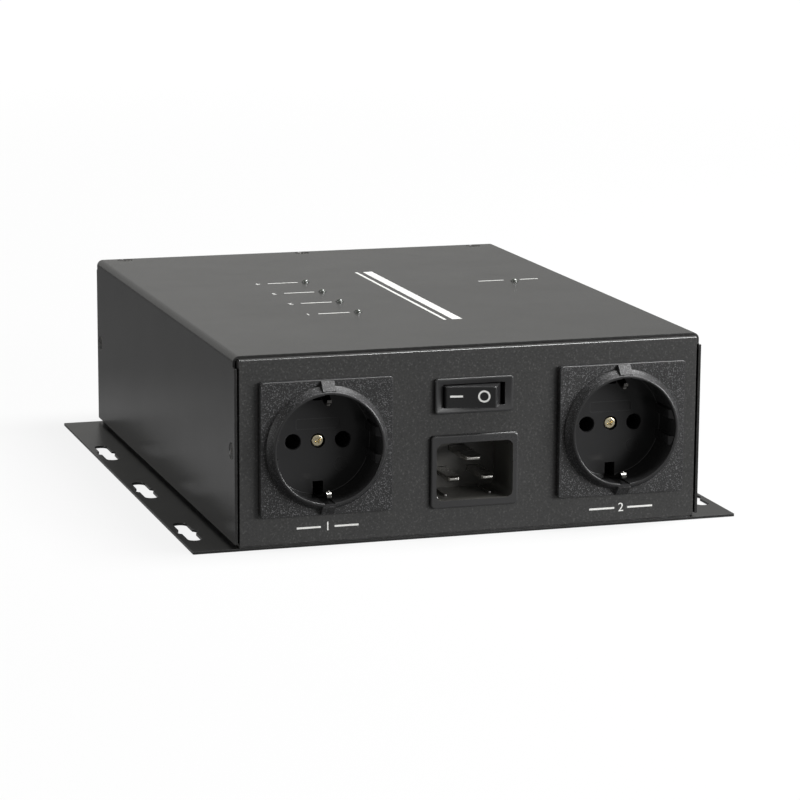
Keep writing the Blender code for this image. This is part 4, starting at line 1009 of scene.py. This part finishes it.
blade_nickel = metal_finish(
    "blade_nickel", (0.66, 0.65, 0.62), (0.50, 0.49, 0.46), 0.24, worn_and_sheen_tone=(0.85, 0.84, 0.80), wear=0.6,
)
for name, (x, y, half_width, tip) in BLADES.items():
    blade = block(
        f"{name}_contact_blade", (x - half_width, y - BLADE_HALF_THICKNESS, BLADE_TAIL),
        (x + half_width, y + BLADE_HALF_THICKNESS, tip - 0.0014),
    )
    edit(blade, faces=facing_up)
    for step, across, over in BLADE_POINT:
        draw_out((0, 0, step), across, over, (x, y, 0))
    done()
    hole_z = BLADE_TAIL + 0.0035
    cut(blade, rod("solder_hole", (x, y - 0.003, hole_z), (x, y + 0.003, hole_z), 0.0010, sides=24))
    face_panel(blade, INLET_MIDDLE)
    soften(blade, 0.00018, sharp=40)
    fit(blade, blade_nickel, [f"inlet_{name}_blade"])

# Switch
# A double-pole rocker switch clipped into the panel: a satin bezel that falls away to a window, and
# a semi-gloss rocker on two short pins with a printed bar and ring. Its left end is pressed in.
BEZEL_FACE = 0.0015
BEZEL_HALF = (0.0151, 0.0066)
BEZEL_CORNER = 0.0012
SLOPE_FOOT = (0.0121, 0.0045)
SLOPE_TOP = (0.0142, 0.0057)
SLOPE_DEPTH = 0.00050
SWITCH_BODY = (0.0140, 0.0061)
SWITCH_END = -0.0240
WINDOW_HALF = (0.0119, 0.0043)
CHAMBER_FLOOR = -0.0084
PIVOT_BEHIND = 0.00445
PIVOT_HOLE = 0.00135
PIVOT_REACH = 0.0053
CATCH_REACH = (0.0138, 0.0149)
CATCH_HALF = 0.0030
CATCH_SLOPE = 0.0009
ROCKER_TURN = -15
ROCKER_HALF_HEIGHT = 0.0040
ROCKER_HALF_LENGTH = 0.00925
ROCKER_FACE = 0.0103
ROCKER_DISH = 0.0005
ROCKER_FLARE = (0.0111, 0.0030)
ROCKER_BACK = (0.0085, 0.0015)
ROCKER_PIN = 0.0012
PIN_ENDS = (0.0030, 0.0050)
MARK_RISE = 0.00002
MARK_FRONT = -0.012
MARK_BACK = -0.0088
BAR_LOW = (-0.00770, MARK_FRONT, -0.00006)
BAR_HIGH = (-0.00302, MARK_BACK, 0.00066)
RING_MIDDLE = (0.00475, 0.0003)
RING_RADII = (0.00225, 0.00158)

bezel = rounded_block("switch_bezel", SWITCH_BODY, SWITCH_END, 0.0008, BEZEL_CORNER)
lip = rounded_block("lip", BEZEL_HALF, 0.0003, BEZEL_FACE, BEZEL_CORNER)
round_edges(lip, lambda at, along: at.z > BEZEL_FACE - 0.00003, 0.0004, 4)
weld(bezel, lip)
foot_x, foot_y = SLOPE_FOOT
slope = block("slope", (-foot_x, -foot_y, BEZEL_FACE - SLOPE_DEPTH), (foot_x, foot_y, BEZEL_FACE))
edit(slope, faces=facing_up)
widen(SLOPE_TOP[0] / foot_x, SLOPE_TOP[1] / foot_y)
draw_out((0, 0, 0.001))
done()
cut(bezel, slope)
half_x, half_y = WINDOW_HALF
chamber = block("chamber", (-half_x, -half_y, CHAMBER_FLOOR), (half_x, half_y, 0.003))
start, end = ((0, y, -PIVOT_BEHIND) for y in (-PIVOT_REACH, PIVOT_REACH))
cut(bezel, chamber, rod("pivot_hole", start, end, PIVOT_HOLE, sides=32))
for side in (-1, 1):
    low_x, high_x = sorted(side * x for x in CATCH_REACH)
    catch = block("catch", (low_x, -CATCH_HALF, -0.0080), (high_x, CATCH_HALF, -0.0020))
    edit(catch, corners=lambda at: abs(at.x) > 0.0145 and at.z < -0.007)
    shift(x=-side * CATCH_SLOPE)
    done()
    weld(bezel, catch)
face_panel(bezel, SWITCH_MIDDLE)
soften(bezel, 0.00012)
switch_satin = grained_finish(
    "switch_satin_plastic", (0.020, 0.020, 0.0205), (0.06, 0.06, 0.06), 0.34, 2200, 0.000012, 0.2,
    worn_and_sheen_tone=0.12, wear=0.35,
)
fit(bezel, switch_satin, ["switch_housing"])

flare, flare_depth = ROCKER_FLARE
rocker = block("rocker_key", (-flare, -flare_depth, -ROCKER_HALF_HEIGHT), (flare, 0, ROCKER_HALF_HEIGHT))
edit(rocker, faces=lambda at, normal: normal.y > 0.9)
draw_out((0, ROCKER_BACK[1], 0), ROCKER_BACK[0] / flare, 1)
pick(rocker, faces=lambda at, normal: normal.y < -0.9)
draw_out((0, flare_depth - ROCKER_FACE, 0), ROCKER_HALF_LENGTH / flare, 1)
dish_steps = [step / 8 for step in range(-7, 8)]
for share in dish_steps:
    slice_at(0, share * ROCKER_HALF_LENGTH)
for share in dish_steps:
    pick(rocker, corners=lambda at: at.y < 0.0001 - ROCKER_FACE
         and abs(at.x - share * ROCKER_HALF_LENGTH) < 0.00005)
    shift(y=ROCKER_DISH * (1 - share * share))
done()
clean(rocker)
printed = twin(rocker, "print_layer", (0, -MARK_RISE, 0))
round_edges(rocker, lambda at, along: abs(along.z) > 0.9 and at.y < -0.010
            and abs(at.x) > ROCKER_HALF_LENGTH - 0.0001, 0.0006, 5)
round_edges(rocker, lambda at, along: abs(at.z) > 0.0039 and at.y < -0.0090
            and abs(along.z) < 0.5, 0.00045, 4)
for side in (-1, 1):
    start, end = ((0, 0, side * z) for z in PIN_ENDS)
    weld(rocker, rod("pin", start, end, ROCKER_PIN))
bar = block("bar", BAR_LOW, BAR_HIGH)
x, z = RING_MIDDLE
circle = rod("ring", (x, MARK_FRONT, z), (x, MARK_BACK, z), RING_RADII[0], sides=64)
cut(circle, rod("inside", (x, MARK_FRONT - 0.001, z), (x, MARK_BACK + 0.0008, z), RING_RADII[1], sides=64))
marks = join([bar, circle], "rocker_marks")
cut(marks, printed, operation="INTERSECT")
seat = Matrix.Translation((SWITCH_MIDDLE[0], FRONT + PIVOT_BEHIND, SWITCH_MIDDLE[1]))
for piece in (rocker, marks):
    settle(piece, seat @ rotation(ROCKER_TURN, "Z"))
soften(rocker, 0.00015)
clean(marks)
shade(marks)
rocker_gloss = grained_finish(
    "rocker_plastic", (0.016, 0.016, 0.0165), (0.04, 0.04, 0.04), 0.24, 1800, 0.000006, 0.15,
    worn_and_sheen_tone=0.10, wear=0.3,
)
fit(rocker, rocker_gloss, ["switch_rocker"], body="rocker")
# The cover's print is the same white ink painted darker than the panel's: painted shade against the brighter
# light on the top.
white_print, cover_white = (
    grained_finish(name, (tone, tone, 0.97 * tone), [0.8 * tone] * 3, 0.55, 3000, 0.000008, 0.4)
    for name, tone in (("white_print", 0.86), ("cover_white_print", 0.55))
)
fit(marks, white_print, [], body="rocker")

# Screws
# Countersunk steel screws with a cross recess, blackened zinc plate: seven hold the cover to the tray,
# and four go up through the base plate into the posts of the board.
COUNTERSUNK_HEAD = 0.0028
SHANK = 0.0015
HEAD_SUNK = 0.0001
COVER_SCREW_LENGTH = 0.0060
BASE_SCREW_LENGTH = 0.0100
THREAD_PITCH = 0.0005
THREAD_ROOT = 0.85
SPIN_START = 14.3239
SPIN_STEP = 51.5662

screw_black = metal_finish(
    "black_zinc", (0.055, 0.053, 0.050), (0.030, 0.029, 0.028), 0.38, worn_and_sheen_tone=(0.55, 0.53, 0.50), wear=0.75,
)


def countersunk(name, length):
    """A screw along the Z axis, its head just under the XY plane."""
    foot = -HEAD_SUNK - COUNTERSUNK_HEAD + SHANK
    made = rod(name, (0, 0, foot - 0.00015), (0, 0, -HEAD_SUNK), SHANK, COUNTERSUNK_HEAD, sides=48)
    edit(made, faces=facing_down)
    draw_out((0, 0, -0.0004))
    rings = int((length + foot - 0.0008) / THREAD_PITCH)
    for ring in range(rings):
        draw_out((0, 0, -THREAD_PITCH / 2), THREAD_ROOT)
        draw_out((0, 0, -THREAD_PITCH / 2), 1 / THREAD_ROOT)
    draw_out((0, 0, -0.0003), 0.75)
    done()
    round_edges(made, lambda at, along: at.z > -HEAD_SUNK - 0.00001 and abs(along.z) < 0.1, 0.0002, 3)
    cut(made, *cross_recess((0.00165, 0.00040), -0.0011, 0.001, (0.45, 0.7)))
    clean(made)
    shade(made, 32)
    return made


drawn = {length: countersunk("screw", length) for length in (COVER_SCREW_LENGTH, BASE_SCREW_LENGTH)}
for number, screw in enumerate(SIDE_SCREWS + TOP_SCREWS + BASE_SCREWS):
    middle, out = screw_head(screw)
    if screw.startswith("top"):
        middle.z = COVER_HIGH.z
    turn = rotation(90 * out.x, "Y") @ rotation(180 if out.z < 0 else 0, "X")
    spin = rotation(SPIN_START + SPIN_STEP * number, "Z")
    source = drawn[BASE_SCREW_LENGTH if screw.startswith("base") else COVER_SCREW_LENGTH]
    copy = twin(source, f"{screw}_countersunk")
    settle(copy, Matrix.Translation(middle) @ turn @ spin)
    fit(copy, screw_black, [screw])
for source in drawn.values():
    bpy.data.objects.remove(source, do_unlink=True)

# Lamps
# Five round signal lamps, tinted dark when they are off. They stand on the board, and their domes
# look out of the cover's holes: four for the ports and one for the data line.
LAMP_RADIUS = 0.0015
LAMP_COLLAR = 0.0018
DOME_ROUNDING = 0.00142
lamp_tint, tree, shader, place = start_finish("lamp_tint", Coat_Weight=0.6, Coat_Roughness=0.08)
streaks = spread(tree, noise(tree, place, 700.0, 3.0, 0.6), 0.35, 0.65)
tone = blend(tree, streaks, (0.030, 0.034, 0.030), (0.055, 0.060, 0.052))
link_finish(tree, shader, place, tone, 0.16, 0.05)
for lamp in LAMPS_SEEN:
    low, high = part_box(lamp)
    x, y, z = middle_of(lamp)
    dome = rod(f"{lamp}_dome", (x, y, low.z), (x, y, high.z), LAMP_RADIUS)
    round_edges(dome, lambda at, along: at.z > high.z - 0.00001, DOME_ROUNDING, 10)
    weld(dome, rod("collar", (x, y, low.z), (x, y, low.z + 0.0010), LAMP_COLLAR))
    soften(dome, 0.0001, sharp=50)
    fit(dome, lamp_tint, [lamp])

# Printing
# Plain white screen print on the coat: the ports' numbers between rules, a rule and a number by
# each lamp, and a pair of stripes along the cover.
PRINT_RISE = 0.00002
PRINT_SUNK = 0.00010
RULE = 0.0007
TOP_RULE = 0.0010
FRONT_DIGIT = 0.0033
TOP_DIGIT = 0.0030
RULE_START = 0.0026
LABEL_SHIFT = 0.0009
# How high a port's number stands and how far its rules reach: left outlets, then right ones
LABELS = {True: (0.00705, 0.0117), False: (0.00655, 0.01265)}
LAMP_RULE = (-0.0360, -0.0235)
ONLINE_RULES = ((0.0490, 0.0600), (0.0670, 0.0750))
ONLINE_RISE = 0.0033
LAMP_DIGIT_X = -0.0402
STRIPES = ((0.0065, 0.0077), (0.0100, 0.0140))
STRIPE_ENDS = (-0.0635, 0.0550)


def digit(text, height):
    """A number in the XY plane, its middle at the origin, as a thin mesh."""
    bpy.ops.object.text_add()
    made = bpy.context.object
    made.data.body = text
    made.data.align_x = "CENTER"
    made.data.align_y = "CENTER"
    made.data.size = height / 0.70
    made.data.extrude = (PRINT_RISE + PRINT_SUNK) / 2
    bpy.ops.object.convert(target="MESH")
    clean(made)
    return settle(made, Matrix.Translation((0, 0, (PRINT_RISE - PRINT_SUNK) / 2)))


def rule(start, end, y, half=RULE / 2):
    """A rule in the XY plane."""
    return block("rule", (start, y - half, -PRINT_SUNK), (end, y + half, PRINT_RISE))


prints = []
for number, (x, z, rear) in enumerate(OUTLETS.values()):
    number_low, reach = LABELS[x < 0]
    rules = [rule(*sorted((side * RULE_START, side * reach)), 0) for side in (-1, 1)]
    label = join([digit(str(number + 1), FRONT_DIGIT), *rules])
    place = Matrix.Translation((x + LABEL_SHIFT, REAR if rear else FRONT, number_low))
    prints.append(settle(label, place @ rotation(180 if rear else 0, "Z") @ rotation(90, "X")))
panel_print = join(prints, "panel_print")
fit(panel_print, white_print, [])

prints = []
for number, lamp in enumerate(LAMPS_SEEN[:-1]):
    y = middle_of(lamp).y
    text = digit(str(number + 1), TOP_DIGIT)
    text = settle(text, Matrix.Translation((LAMP_DIGIT_X, y, 0)) @ rotation(180, "Z"))
    prints += [text, rule(*LAMP_RULE, y, TOP_RULE / 2)]
y = middle_of(LAMPS_SEEN[-1]).y + ONLINE_RISE
prints += [rule(start, end, y, TOP_RULE / 2) for start, end in ONLINE_RULES]
for start, end in STRIPES:
    prints.append(block("stripe", (start, STRIPE_ENDS[0], -PRINT_SUNK), (end, STRIPE_ENDS[1], PRINT_RISE)))
cover_print = join(prints, "cover_print")
settle(cover_print, Matrix.Translation((0, 0, COVER_HIGH.z)))
fit(cover_print, cover_white, [])

# Inner pieces
# What the closed case holds keeps its solids: the board on nylon posts, its relays, supply module
# and terminal block, the earth stud, and the sheathed leads and single wires between them.
INNER_FINISHES = {
    "control_board": ("board_mask", (0.012, 0.085, 0.035), (0.03, 0.16, 0.07), 0.30),
    "relay": ("relay_plastic", (0.012, 0.055, 0.19), (0.03, 0.10, 0.28), 0.42),
    "power_module": ("module_case", (0.014, 0.014, 0.014), (0.05, 0.05, 0.05), 0.50),
    "terminal_block": ("block_plastic", (0.03, 0.15, 0.06), (0.06, 0.22, 0.10), 0.45),
    "board_post": ("post_nylon", (0.58, 0.57, 0.52), (0.70, 0.69, 0.64), 0.40),
    "lead": ("lead_sheath", (0.016, 0.016, 0.017), (0.05, 0.05, 0.05), 0.55),
    "line": ("brown_insulation", (0.105, 0.035, 0.012), (0.16, 0.07, 0.03), 0.42),
    "neutral": ("blue_insulation", (0.012, 0.065, 0.28), (0.03, 0.12, 0.36), 0.42),
}
inner_finishes = {
    part: grained_finish(*look, 1400, 0.00002, 0.2) for part, look in INNER_FINISHES.items()
}
inner_finishes["wire_earth"], tree, shader, place = start_finish("striped_insulation")
bands = add_node(tree, "TexWave", {"Vector": place, "Scale": 45.0, "Distortion": 0.4})
bands = spread(tree, bands.outputs["Fac"], 0.56, 0.60)
tone = blend(tree, bands, (0.03, 0.22, 0.03), (0.62, 0.50, 0.03))
link_finish(tree, shader, place, tone, 0.42, 0.05)
inner_finishes["earth_stud"] = metal_finish("stud_zinc", (0.56, 0.55, 0.52), (0.40, 0.39, 0.37), 0.30)
for name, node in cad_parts.items():
    for part, finish in inner_finishes.items():
        if name.startswith(part) or name.endswith(f"_{part}"):
            for place in node.material_slots:
                place.material = finish
